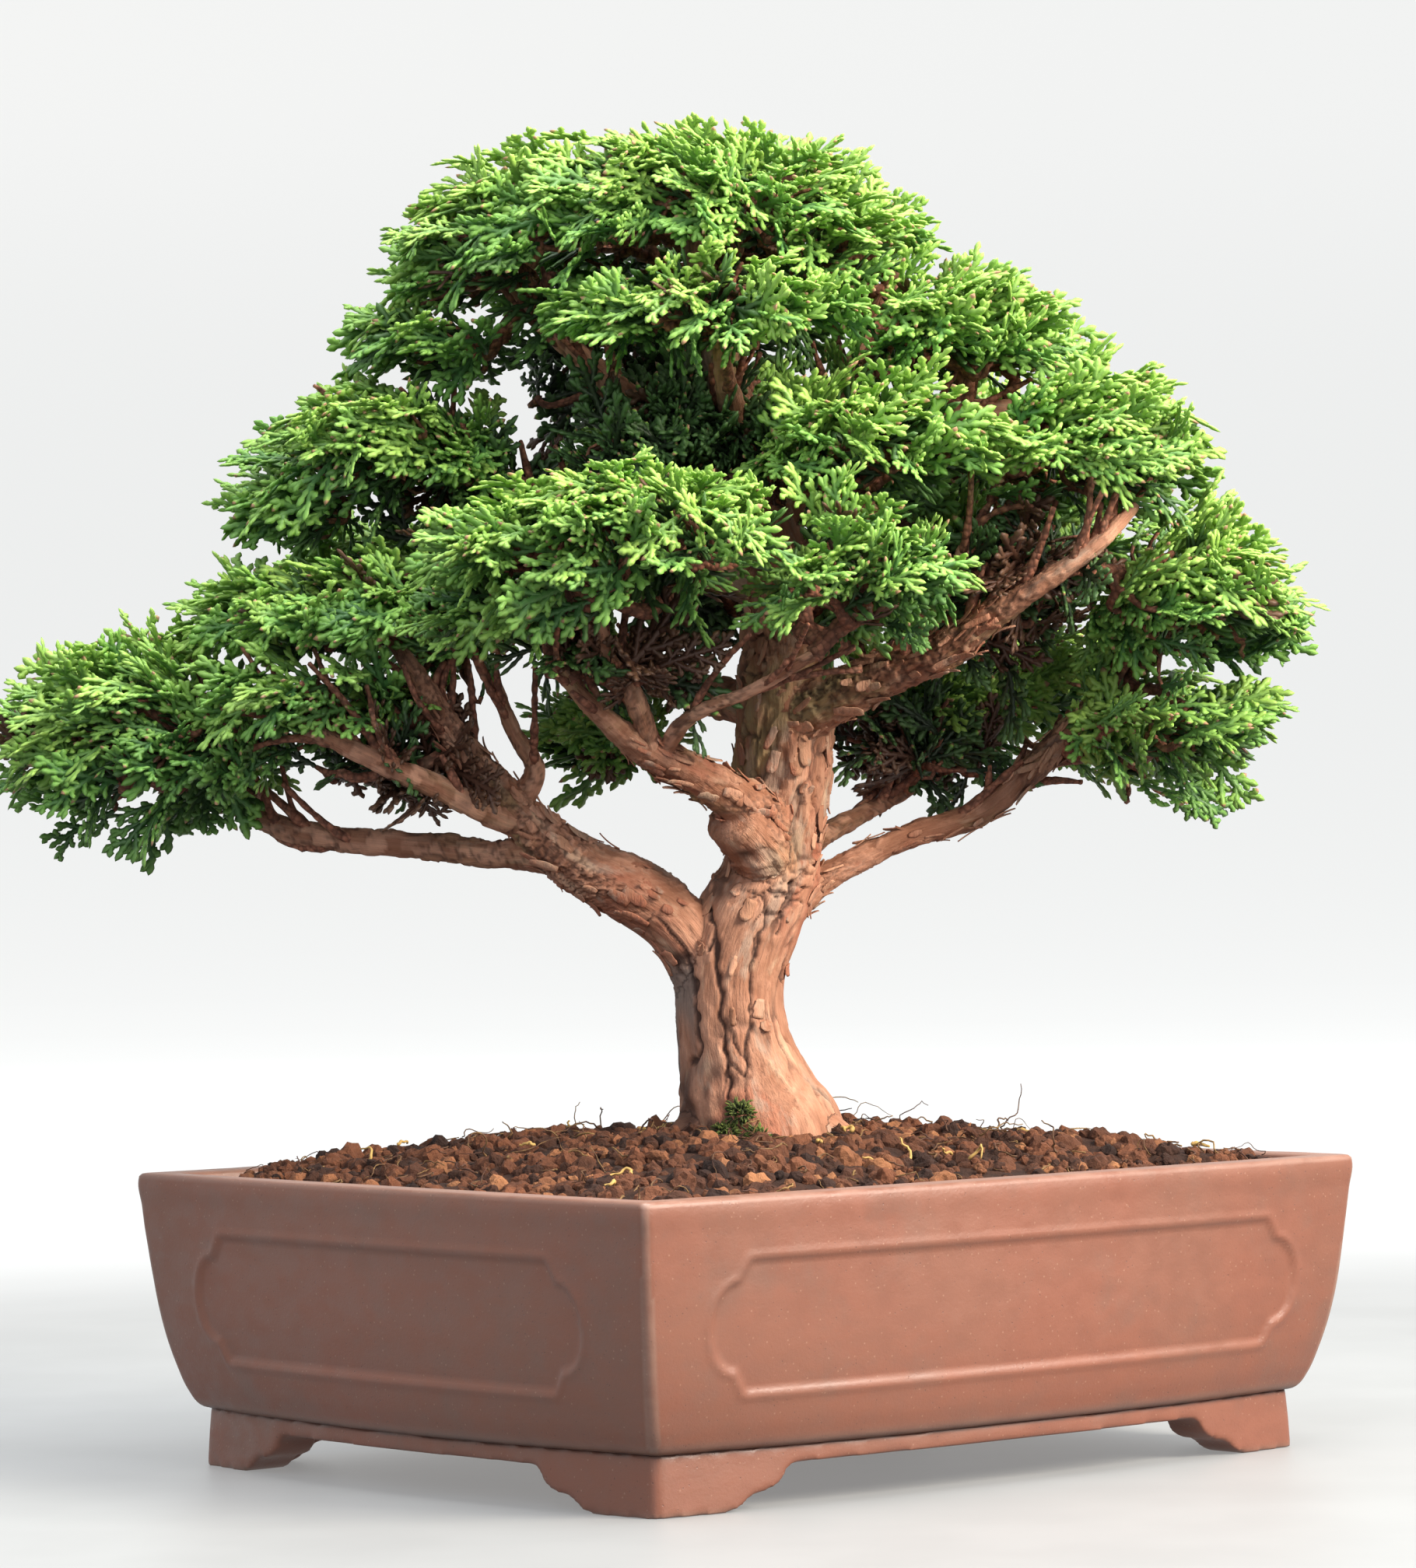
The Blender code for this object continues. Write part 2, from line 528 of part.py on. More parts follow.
def build_soil(parts, cutters, root, clearance):
    """The soil fills the pot and is heaped towards the trunk, with a moss tuft let into it."""
    moss = new_object("moss_tuft", blob_mesh("moss_tuft", MOSS), parts, root, TREE_TURN)
    boolean(moss, clearance)
    bake(moss)
    moss.data.materials.clear()
    moss.data.materials.append(material("moss_green", (0.05, 0.12, 0.02), 0.9))
    moss_guard = new_object("moss_guard", blob_mesh("moss_guard", MOSS, 1.5 * GAP), cutters, root, TREE_TURN)

    edge_height = SOIL_TOP[0][1] * MM
    wall_heights = [height * MM for height, _ in INSIDE_PROFILE if height * MM < edge_height]
    wall_heights[0] += GAP
    rings = []
    for height in wall_heights + [edge_height]:
        rings.append(pot_ring(inset_at(INSIDE_PROFILE, height) + 1.5 * GAP, height))
    inset = inset_at(INSIDE_PROFILE, edge_height) + 1.5 * GAP
    for spread, level in SOIL_TOP[1:]:
        ring = pot_ring(inset, level * MM, spread)
        for point in ring:
            point.z += SOIL_LUMPS * noise.noise(point / SOIL_LUMP_SPACING)
        rings.append(ring)
    soil = new_object("soil_bed", loft("soil_bed", rings), parts, root)
    pocket_top = FLOOR_TOP + SCREEN_THICKNESS + 3 * GAP + 2 * CLIP_WIRE
    for side in (-1, 1):
        size = (SCREEN_SIDE + 2 * GAP, SCREEN_SIDE + 2 * GAP, 2 * (pocket_top - FLOOR_TOP))
        mesh = box_mesh("screen_pocket", size, (side * DRAIN_OFFSET, 0, FLOOR_TOP))
        boolean(soil, as_cutter(new_object("screen_pocket", mesh, cutters, root)))
    boolean(soil, as_cutter(moss_guard))
    boolean(soil, clearance)
    bake(soil)
    soil.data.materials.clear()
    soil.data.materials.append(material("akadama_soil", (0.14, 0.06, 0.03), 0.95))


def centre_on_origin(parts, root):
    """Put the middle of the whole object's box over the origin."""
    bpy.context.view_layer.update()
    graph = bpy.context.evaluated_depsgraph_get()
    corners = []
    for part in parts.objects:
        seen = part.evaluated_get(graph)
        corners += [seen.matrix_world @ vertex.co for vertex in seen.data.vertices]
    for axis in (0, 1):
        values = [corner[axis] for corner in corners]
        root.location[axis] = -(min(values) + max(values)) / 2


def build():
    clear_scene()
    parts = new_collection("potted_hinoki_bonsai")
    cutters = new_collection("cutters")
    root = bpy.data.objects.new("standing_point", None)
    bpy.context.scene.collection.objects.link(root)

    pot = build_pot(parts, cutters, root)
    pot.data.materials.clear()
    pot.data.materials.append(material("unglazed_clay", (0.42, 0.17, 0.1), 0.55))
    build_screens(parts, cutters, root)

    wood = build_wood("trunk_and_limbs", parts, cutters, root)
    wood.data.materials.clear()
    wood.data.materials.append(material("cypress_bark", (0.38, 0.17, 0.1), 0.85))
    clearance = as_cutter(build_wood("wood_clearance", cutters, cutters, root, GAP))

    build_soil(parts, cutters, root, clearance)
    build_foliage(parts, cutters, root, clearance)
    centre_on_origin(parts, root)


build()
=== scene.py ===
"""A dwarf hinoki cypress trained as a bonsai, in a rectangular unglazed clay pot: the looks.

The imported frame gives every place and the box; this script models the fine surface of each piece around it.
Lengths are in millimetres until a mesh is made, where they turn to metres. The pot's long side runs along X.
The tree has a frame of its own about the pot's middle: right, away and up, as seen from the tree's front.
"""

import itertools
import logging
import math
from dataclasses import dataclass, field
from enum import Enum

import bmesh
import bpy
import numpy as np
from mathutils import Matrix, Vector


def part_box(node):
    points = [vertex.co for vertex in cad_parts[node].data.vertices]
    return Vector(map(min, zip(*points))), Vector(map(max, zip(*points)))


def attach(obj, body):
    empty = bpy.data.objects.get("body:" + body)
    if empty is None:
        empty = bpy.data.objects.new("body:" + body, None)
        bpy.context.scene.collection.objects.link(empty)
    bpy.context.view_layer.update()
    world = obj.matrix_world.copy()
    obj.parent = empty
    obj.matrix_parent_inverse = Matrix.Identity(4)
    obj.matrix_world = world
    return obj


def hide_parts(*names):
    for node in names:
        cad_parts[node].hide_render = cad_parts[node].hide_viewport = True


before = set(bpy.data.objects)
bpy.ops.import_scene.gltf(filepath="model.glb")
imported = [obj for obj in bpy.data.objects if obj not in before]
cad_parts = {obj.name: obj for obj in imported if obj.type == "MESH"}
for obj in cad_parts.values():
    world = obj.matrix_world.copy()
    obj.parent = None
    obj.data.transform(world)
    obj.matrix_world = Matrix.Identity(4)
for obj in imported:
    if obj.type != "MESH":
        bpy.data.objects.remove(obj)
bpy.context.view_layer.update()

LOG = logging.getLogger("bonsai")
MM = 0.001
UP = np.array((0.0, 0.0, 1.0))
TREE_TURN = math.radians(-40.6)  # the tree's front is turned about Z from -Y
# On the leaves both of its values hold painted light and shade; on the crumbs the second holds their painted
# shade and highlight.
BAKE_MAP = "OFBake"  # the UV map in which a many-leaved piece keeps its tone and its age

# The limbs' centre lines in the tree's frame, as the solids have them: (right, away, up, radius)
LIMBS = {
    "trunk": ((3, 0, 58, 16), (4, 0, 74, 22), (4, 0, 87, 23.5), (1, 0, 98, 19.5), (-2, 0, 111, 16),
              (-3.5, 0, 122, 15), (-3, 0, 133, 15), (1.5, 0, 146, 14.6), (8, 0, 160, 13), (10, 0, 174, 13),
              (12.5, 0, 195, 13.3), (13, 0, 211, 12.6), (12.5, 0, 228, 10.8), (10, 1, 249, 9),
              (5, 1, 271, 7.3), (-2, 0, 296, 5.6), (-8, 0, 324, 3.9), (-12, 0, 345, 2)),
    "root_right": ((8, -4, 95, 9), (22, -8, 87, 7), (34, -12, 79, 5), (47, -16, 66, 2.5)),
    "root_left": ((-5, -4, 94, 9), (-16, -9, 85, 7), (-29, -14, 73, 5), (-42, -22, 60, 2.5)),
    "root_front": ((2, -10, 92, 8), (5, -22, 82, 6), (10, -36, 68, 3)),
    "root_back": ((4, 10, 94, 9), (0, 24, 84, 6.5), (-8, 42, 70, 3)),
    "root_back_right": ((12, 8, 93, 8), (26, 19, 83, 6), (40, 32, 68, 3)),
    "left": ((-9, 0, 118, 8), (-11, -1, 133, 9), (-18, -4, 146, 9.2), (-31, -8, 156, 9), (-44, -12, 163, 8),
             (-52, -14, 169, 7), (-60, -16, 177.5, 5.8), (-71, -20, 190, 4.8), (-79, -24, 201, 3.8),
             (-87, -28, 215, 2.7), (-96, -28, 228, 1.8)),
    "left_low": ((-48, -13, 166, 5.6), (-65, -10, 166, 4.1), (-82, -5, 168, 3.7), (-106, 0, 170.5, 3.7),
                 (-124, 5, 173.5, 3.4), (-139, 9, 180, 2.5), (-155, 10, 189, 1.7)),
    "left_scaly": ((-58, -15, 173, 4), (-70, -22, 178, 3.6), (-81, -28, 184, 3.3), (-98, -36, 192, 2.8),
                   (-114, -38, 200, 2.3), (-131, -34, 207, 1.8)),
    "left_snag": ((-60, -16, 178, 3.2), (-56, -18, 190, 2.8), (-61, -20, 199, 2.3), (-66, -22, 212, 1.7)),
    "knob": ((9, 0, 160, 8), (3, -14, 169, 8.8), (-2, -21, 175, 8.2)),
    "front_limb": ((11, -2, 170, 8), (3, -16, 177, 7), (-6, -28, 183, 6), (-15.5, -36, 188.5, 5.2),
                   (-25, -42, 193, 4.4), (-34, -48, 200, 3.2), (-43, -54, 209, 2.3), (-50, -60, 219, 1.6)),
    "front_fork": ((-23, -41, 192, 3.6), (-28.5, -52, 208, 2.7), (-35, -60, 219, 2.1), (-38, -68, 233, 1.6)),
    "front_twig": ((-21, -40, 192, 2.6), (-13, -50, 202, 2), (2, -56, 208, 1.7), (20, -62, 217.5, 1.5)),
    "right_low": ((10, 3, 146, 5.5), (20.5, 8, 156.5, 4.3), (34, 14, 163.5, 3.5), (46, 20, 169, 3.6),
                  (67, 28, 175.5, 3.8), (81, 32, 186.5, 3.9), (92, 36, 197, 4), (108, 38, 212.5, 3),
                  (123, 34, 228, 2), (133, 28, 239, 1.6)),
    "right_second": ((12, 10, 160, 4.5), (22, 24, 169, 3.1), (35, 34, 176, 2.7), (48, 46, 183, 2.4),
                     (62, 56, 194, 2.2), (78, 66, 205, 1.8)),
    "right_upper": ((12, -2, 200, 9), (27, -12, 208, 7), (44, -20, 215, 6.1), (57, -26, 220, 5.5),
                    (67.5, -30, 227.5, 4), (82, -34, 236.5, 3), (97, -34, 247, 2.3), (108, -28, 258, 1.7)),
    "right_twig": ((42, -18, 214, 4), (51, -20, 228, 2.9), (58.5, -24, 240.5, 2.2), (65, -26, 254, 1.6)),
    "shoulder": ((12, 0, 232, 7), (36, -4, 262, 5), (60, -6, 284, 4), (84, -8, 284, 3), (104, -8, 280, 1.8)),
    "apex_left": ((7, 0, 264, 6), (-20, -4, 284, 4), (-45, -2, 305, 3), (-62, 2, 324, 1.8)),
    "apex_right": ((9, 1, 252, 6), (26, 4, 284, 4), (38, 5, 308, 3), (46, 5, 326, 1.8)),
    "apex_front": ((2, -2, 278, 5), (-2, -24, 292, 3), (-4, -44, 306, 1.8)),
    "left_upper": ((12, 1, 236, 7), (-20, 6, 250, 5), (-54, 6, 264, 4), (-80, 4, 276, 3),
                   (-100, 4, 282, 1.8)),
    "back": ((12, 3, 212, 7), (6, 40, 236, 5), (4, 68, 254, 3.5), (6, 88, 268, 1.8)),
    "back_right": ((13, 4, 198, 7), (40, 38, 216, 4.5), (62, 62, 238, 3.3), (76, 74, 262, 1.8)),
    "back_left": ((10, 4, 204, 7), (-22, 34, 214, 4.5), (-54, 56, 226, 3.3), (-84, 68, 236, 1.8)),
    "back_top": ((4, 2, 272, 5), (0, 34, 300, 3), (-6, 58, 324, 1.8)),
    "back_low": ((8, 5, 176, 5), (-12, 26, 187, 3), (-34, 42, 199, 1.8)),
}
# The long fissures in the front of the trunk: points (right, up) from the top down, half width and depth
FISSURES = (
    (((3.7, 142), (2, 130.7), (1.5, 120), (1.1, 113.7), (0, 105)), 0.45, 1.0),
    (((-14.1, 137), (-13.2, 128), (-12, 118), (-13.5, 108)), 0.6, 1.3),
    (((-7.4, 144), (-6.3, 131.7), (-6.2, 121), (-5.3, 112.7), (-4.1, 104), (-4.8, 99)), 0.6, 1.5),
    (((14.5, 157), (11.5, 149), (9, 143)), 0.45, 0.9),
    (((6.5, 150), (4.8, 143), (3.7, 137)), 0.45, 0.9),
    (((-8.5, 152), (-7.5, 146), (-8.5, 139)), 0.5, 1.1),
)
BUTT = ("trunk", "root_right", "root_left", "root_front", "root_back", "root_back_right", "left", "knob",
        "front_limb", "right_low", "right_upper")  # the thick wood, which shows its bark plates

# The foliage pads in the tree's frame, as the solids have them: the middle and the three half sizes
PADS = {
    "apex": (-21, 0, 339, 56, 54, 29),
    "apex_left": (-63, 4, 327, 31, 40, 24),
    "apex_right": (27, 4, 326, 26, 42, 26),
    "shoulder_upper": (58, -4, 303, 34, 46, 24),
    "shoulder_lower": (96, -6, 274, 32, 44, 26),
    "centre_right": (38, -42, 274, 32, 32, 23),
    "apex_front": (-7, -44, 311, 40, 30, 16),
    "left_shoulder": (-81, 4, 308, 24, 30, 14),
    "left_upper": (-95, 0, 277, 33, 42, 23),
    "left_upper_tip": (-119, 10, 264, 21, 30, 17),
    "left_middle": (-109, -8, 230, 43, 44, 21),
    "front": (-29, -72, 247, 51, 40, 24),
    "front_right": (30, -62, 238, 29, 34, 25),
    "front_left": (-55, -58, 229, 27, 30, 18),
    "left_low": (-164, 0, 198, 40, 42, 31),
    "left_low_upper": (-119, -10, 211, 35, 38, 21),
    "right_outer_upper": (128, 8, 232, 30, 44, 29),
    "right_outer_lower": (122, 28, 198, 30, 42, 25),
    "right_middle": (82, 34, 249, 31, 38, 22),
    "right_back_low": (67, 76, 208, 41, 36, 25),
    "back_top": (-14, 62, 338, 48, 36, 29),
    "back_middle": (-2, 84, 274, 52, 40, 32),
    "back_left": (-98, 70, 240, 38, 38, 24),
    "back_right": (76, 80, 272, 41, 38, 29),
    "back_low": (-41, 46, 200, 20, 28, 15),
}

# Old foliage between the pads, painted dark as shade: the middle, the half sizes, how many sprays and the
# share of dead ones
INNER = (
    (-26, 34, 298, 44, 26, 26, 60, 0.1),
    (-14, -10, 274, 42, 20, 18, 110, 0.1),
    (-72, 10, 258, 32, 26, 20, 45, 0.2),
    (64, 12, 232, 34, 30, 20, 60, 0.2),
    (50, 40, 192, 34, 22, 12, 45, 0.3),
    (-20, 30, 240, 60, 26, 18, 50, 0.2),
    (-93, -18, 189, 32, 15, 6, 34, 0.7),
    (-32, -50, 214, 22, 18, 8, 26, 0.7),
    (78, -20, 240, 26, 14, 9, 22, 0.6),
)


# ---------------------------------------------------------------- numbers and noise


def linear(code: str) -> tuple[float, float, float, float]:
    """Turn an sRGB hex colour to the linear colour that shaders take.

    Args:
        code: The colour as "#rrggbb".

    Returns:
        Red, green, blue and an alpha of 1.
    """
    parts = [int(code[i : i + 2], 16) / 255 for i in (1, 3, 5)]
    red, green, blue = [p / 12.92 if p <= 0.04045 else ((p + 0.055) / 1.055) ** 2.4 for p in parts]
    return red, green, blue, 1.0


def per_mm(size: float) -> float:
    """The scale of a texture whose pattern repeats about every size millimetres."""
    return 1 / (size * MM)


def unit(vectors: np.ndarray) -> np.ndarray:
    """The vectors at length one."""
    return vectors / np.maximum(np.linalg.norm(vectors, axis=-1, keepdims=True), 1e-9)


def ease(values: np.ndarray) -> np.ndarray:
    """A smooth step from 0 to 1 over the same range."""
    held = np.clip(values, 0, 1)
    return held * held * (3 - 2 * held)


def lattice(cells: np.ndarray, seed: int) -> np.ndarray:
    """A fixed pseudo-random number from 0 to 1 for each whole-numbered cell.

    Args:
        cells: Rows of three whole numbers.
        seed: Which of the endless tables of numbers to read.

    Returns:
        One number for each row.
    """
    mixed = cells[..., 0] * 73856093 ^ cells[..., 1] * 19349663 ^ cells[..., 2] * 83492791
    mixed = (mixed ^ (seed + 1) * 2654435761) & 0xFFFFFFFF
    mixed = ((mixed ^ (mixed >> 15)) * 2246822519) & 0xFFFFFFFF
    mixed = ((mixed ^ (mixed >> 13)) * 3266489917) & 0xFFFFFFFF
    return ((mixed ^ (mixed >> 16)) & 0xFFFFFF) / 0xFFFFFF


def noise(places: np.ndarray, size: float | tuple[float, float, float], seed: int = 0) -> np.ndarray:
    """Smooth noise from -1 to 1.

    Args:
        places: Points in millimetres.
        size: How far apart the noise's lumps are, the same along each axis or one for each.
        seed: Which noise.

    Returns:
        One value for each point.
    """
    scaled = places / np.asarray(size, float)
    cell = np.floor(scaled).astype(np.int64)
    part = ease(scaled - cell)
    total = np.zeros(len(places))
    for corner in itertools.product((0, 1), repeat=3):
        weight = np.prod(np.where(corner, part, 1 - part), axis=1)
        total += weight * lattice(cell + np.array(corner), seed)
    return 2 * total - 1


def noises(places: np.ndarray, size: float | tuple[float, float, float], *seeds: int) -> np.ndarray:
    """Several noises side by side, one column for each seed."""
    return np.column_stack([noise(places, size, seed) for seed in seeds])


def cells(places: np.ndarray, size: tuple[float, float, float], seed: int) -> tuple[np.ndarray, np.ndarray]:
    """Split space into irregular cells, as bark splits into plates.

    Args:
        places: Points in millimetres.
        size: The cells' size along each axis.
        seed: Which pattern.

    Returns:
        How far each point is from its cell's edge, in cell sizes, and a number from 0 to 1 for its cell.
    """
    scaled = places / np.asarray(size, float)
    home = np.floor(scaled).astype(np.int64)
    nearest = np.full(len(places), 9.0)
    second = np.full(len(places), 9.0)
    owner = np.zeros(len(places))
    for step in itertools.product((-1, 0, 1), repeat=3):
        cell = home + np.array(step)
        middle = cell + np.stack([lattice(cell, seed + k) for k in (11, 23, 37)], axis=1)
        away = np.linalg.norm(scaled - middle, axis=1)
        closer = away < nearest
        second = np.where(closer, nearest, np.minimum(second, away))
        owner = np.where(closer, lattice(cell, seed + 51), owner)
        nearest = np.minimum(nearest, away)
    return second - nearest, owner


def smooth_path(knots: np.ndarray, step: float) -> np.ndarray:
    """A curve through the knots, with a point about every step.

    Args:
        knots: Rows of coordinates, which may end with a radius; the first three columns give the length.
        step: The distance between the points of the curve.

    Returns:
        The curve's rows, evenly spaced.
    """
    knots = np.asarray(knots, float)
    spans = np.linalg.norm(np.diff(knots[:, :3], axis=0), axis=1)
    at = np.concatenate(([0], np.cumsum(spans)))
    slopes = np.gradient(knots, at, axis=0)
    where = np.linspace(0, at[-1], max(3, int(at[-1] / step) + 1))
    index = np.clip(np.searchsorted(at, where, side="right") - 1, 0, len(spans) - 1)
    width = spans[index][:, None]
    t = (where[:, None] - at[index][:, None]) / width
    start = (2 * t**3 - 3 * t**2 + 1) * knots[index] + (t**3 - 2 * t**2 + t) * width * slopes[index]
    end = (3 * t**2 - 2 * t**3) * knots[index + 1] + (t**3 - t**2) * width * slopes[index + 1]
    return start + end


def side_frames(path: np.ndarray) -> tuple[np.ndarray, np.ndarray, np.ndarray]:
    """Directions that follow a path without twisting round it.

    Args:
        path: Points, one a row.

    Returns:
        At each point the way along the path and two ways across it.
    """
    along = unit(np.gradient(path, axis=0))
    across = np.zeros_like(path)
    first = np.cross(along[0], (0.0, 1.0, 0.0))
    if np.linalg.norm(first) < 0.1:
        first = np.cross(along[0], (1.0, 0.0, 0.0))
    across[0] = unit(first)
    for i in range(1, len(path)):
        kept = across[i - 1] - along[i] * np.dot(across[i - 1], along[i])
        across[i] = unit(kept)
    return along, across, np.cross(along, across)


# ---------------------------------------------------------------- meshes


@dataclass
class Skin:
    """A mesh in the making, in millimetres.

    Attributes:
        points: One row for each vertex.
        faces: Arrays of vertex numbers, each array with faces of one size.
        marks: Values for each vertex, by name, which the finishes read.
        palette: For each vertex its place in the bake map, or None.
    """

    points: np.ndarray
    faces: list[np.ndarray]
    marks: dict[str, np.ndarray] = field(default_factory=dict)
    palette: np.ndarray | None = None

    @staticmethod
    def join(skins: list["Skin"]) -> "Skin":
        """Put skins with the same marks together as one.

        Args:
            skins: The skins to join.

        Returns:
            One skin that holds them all.
        """
        starts = np.cumsum([0] + [len(skin.points) for skin in skins[:-1]])
        by_size: dict[int, list[np.ndarray]] = {}
        for skin, start in zip(skins, starts):
            for group in skin.faces:
                by_size.setdefault(group.shape[1], []).append(group + start)
        marks = {name: np.concatenate([skin.marks[name] for skin in skins]) for name in skins[0].marks}
        mapped = skins[0].palette is not None
        palette = np.concatenate([skin.palette for skin in skins]) if mapped else None
        faces = [np.concatenate(groups) for groups in by_size.values()]
        return Skin(np.concatenate([skin.points for skin in skins]), faces, marks, palette)

    def moved(self, matrix: np.ndarray, offset: np.ndarray) -> "Skin":
        """The same skin turned or stretched by a 3 by 3 matrix and then shifted."""
        return Skin(self.points @ matrix.T + offset, self.faces, dict(self.marks), self.palette)

    def mesh(self, name: str) -> bpy.types.Mesh:
        """Make the Blender mesh, in metres.

        Args:
            name: The mesh's name.

        Returns:
            The mesh, with its marks as attributes.
        """
        made = bpy.data.meshes.new(name)
        made.vertices.add(len(self.points))
        made.vertices.foreach_set("co", (self.points * MM).astype(np.float32).ravel())
        corners = np.concatenate([group.ravel() for group in self.faces]).astype(np.int32)
        sizes = np.concatenate([np.full(len(group), group.shape[1]) for group in self.faces])
        made.loops.add(len(corners))
        made.loops.foreach_set("vertex_index", corners)
        made.polygons.add(len(sizes))
        starts = np.concatenate(([0], np.cumsum(sizes)[:-1])).astype(np.int32)
        made.polygons.foreach_set("loop_start", starts)
        made.update(calc_edges=True)
        for mark, values in self.marks.items():
            set_mark(made, mark, values)
        if self.palette is not None:
            uv = made.uv_layers.new(name=BAKE_MAP)
            uv.data.foreach_set("uv", self.palette[corners].astype(np.float32).ravel())
        made.validate()
        return made


def set_mark(mesh: bpy.types.Mesh, name: str, values: np.ndarray) -> None:
    """Store one value, or one vector, for each of a mesh's vertices.

    Args:
        mesh: The mesh.
        name: What the mark is called.
        values: One number or one vector for each vertex.
    """
    flat = values.ndim == 1
    layer = mesh.attributes.new(name, "FLOAT" if flat else "FLOAT_VECTOR", "POINT")
    layer.data.foreach_set("value" if flat else "vector", values.astype(np.float32).ravel())


def between_rings(levels: int, around: int) -> np.ndarray:
    """The four-cornered faces between closed rings of points that are numbered one ring after another.

    Args:
        levels: How many rings there are.
        around: How many points each has.

    Returns:
        One row of four vertex numbers for each face.
    """
    ring = np.arange(around)
    first = np.arange(levels - 1)[:, None] * around
    base, following = first + ring, first + (ring + 1) % around
    return np.stack((base, following, following + around, base + around), axis=-1).reshape(-1, 4)


def tube(path: np.ndarray, radii: np.ndarray, sides: int, blunt: float = 0.5) -> Skin:
    """A closed tube round a path.

    Args:
        path: Points, one a row.
        radii: The tube's radius at each point.
        sides: How many corners its section has.
        blunt: How far its ends stand out, in end radii.

    Returns:
        The tube, marked with its place along ("run") and each point's way out from the centre line ("out").
    """
    along, across, third = side_frames(path)
    turn = np.linspace(0, 2 * math.pi, sides, endpoint=False)
    out = across[:, None] * np.cos(turn)[None, :, None] + third[:, None] * np.sin(turn)[None, :, None]
    rings = path[:, None] + out * radii[:, None, None]
    count = len(path)
    start = path[0] - along[0] * radii[0] * blunt
    end = path[-1] + along[-1] * radii[-1] * blunt
    points = np.concatenate((rings.reshape(-1, 3), start[None], end[None]))
    ring = np.arange(sides)
    after = (ring + 1) % sides
    low = np.stack((after, ring, np.full(sides, count * sides)), axis=1)
    top = (count - 1) * sides
    high = np.stack((top + ring, top + after, np.full(sides, count * sides + 1)), axis=1)
    lengths = np.concatenate(([0], np.cumsum(np.linalg.norm(np.diff(path, axis=0), axis=1))))
    run = np.concatenate((np.repeat(lengths, sides), lengths[[0, -1]]))
    outwards = np.concatenate((out.reshape(-1, 3), -along[:1], along[-1:]))
    faces = [between_rings(count, sides), np.concatenate((low, high))]
    return Skin(points, faces, {"run": run, "out": outwards})


def loft(rings: np.ndarray) -> Skin:
    """Skin closed rings of equally many points, and close both ends.

    Args:
        rings: An array of rings, points and coordinates, anticlockwise seen from above and going up.

    Returns:
        The closed skin.
    """
    levels, around, _ = rings.shape
    ends = np.stack((np.arange(around)[::-1], np.arange(around) + (levels - 1) * around))
    return Skin(rings.reshape(-1, 3), [between_rings(levels, around), ends])


def read_vectors(items: bpy.types.bpy_prop_collection, key: str) -> np.ndarray:
    """The vector that each of a mesh's items holds under a name.

    Args:
        items: The mesh's vertices or normals.
        key: The name of what is read.

    Returns:
        One row for each item.
    """
    values = np.empty(len(items) * 3, np.float32)
    items.foreach_get(key, values)
    return values.reshape(-1, 3).astype(float)


def read_points(mesh: bpy.types.Mesh) -> np.ndarray:
    """The places of a mesh's vertices, in millimetres."""
    return read_vectors(mesh.vertices, "co") / MM


def read_normals(mesh: bpy.types.Mesh) -> np.ndarray:
    """The way out of the surface at each of a mesh's vertices."""
    return read_vectors(mesh.vertex_normals, "vector")


def set_points(mesh: bpy.types.Mesh, points: np.ndarray) -> None:
    """Move a mesh's vertices to these places, in millimetres."""
    mesh.vertices.foreach_set("co", (points * MM).astype(np.float32).ravel())
    mesh.update()


def tree_turn() -> np.ndarray:
    """The matrix that turns the tree's frame to the pot's."""
    cos, sin = math.cos(TREE_TURN), math.sin(TREE_TURN)
    return np.array(((cos, -sin, 0), (sin, cos, 0), (0, 0, 1)))


def new_object(name: str, mesh: bpy.types.Mesh) -> bpy.types.Object:
    """Put a mesh in the scene.

    Args:
        name: The object's name.
        mesh: Its mesh.

    Returns:
        The object.
    """
    made = bpy.data.objects.new(name, mesh)
    bpy.context.scene.collection.objects.link(made)
    return made


def joined(name: str, skins: list[Skin], middle: np.ndarray, from_tree: bool) -> bpy.types.Object:
    """Make one object of several skins.

    Args:
        name: The object's name.
        skins: The skins, about the pot's middle.
        middle: The pot's middle.
        from_tree: Whether the skins are in the tree's frame, or else in the pot's.

    Returns:
        The object, in place.
    """
    whole = Skin.join(skins).moved(tree_turn() if from_tree else np.eye(3), middle)
    return new_object(name, whole.mesh(name))


def applied(thing: bpy.types.Object) -> bpy.types.Object:
    """Replace an object's mesh by what its modifiers make of it.

    Args:
        thing: The object.

    Returns:
        The same object, without modifiers.
    """
    bpy.context.view_layer.update()
    seen = thing.evaluated_get(bpy.context.evaluated_depsgraph_get())
    mesh = bpy.data.meshes.new_from_object(seen)
    thing.modifiers.clear()
    thing.data = mesh
    return thing


def carved(thing: bpy.types.Object, tools: list[Skin]) -> None:
    """Cut closed skins out of an object.

    Args:
        thing: The object to cut.
        tools: The skins to cut out, in the row's frame.
    """
    cutters = []
    for number, skin in enumerate(tools):
        cutter = new_object(f"cutter_{number}", skin.mesh("cutter"))
        cut = thing.modifiers.new("Cut", "BOOLEAN")
        cut.operation = "DIFFERENCE"
        cut.solver = "EXACT"
        cut.object = cutter
        cutters.append(cutter)
    applied(thing)
    for cutter in cutters:
        bpy.data.objects.remove(cutter, do_unlink=True)


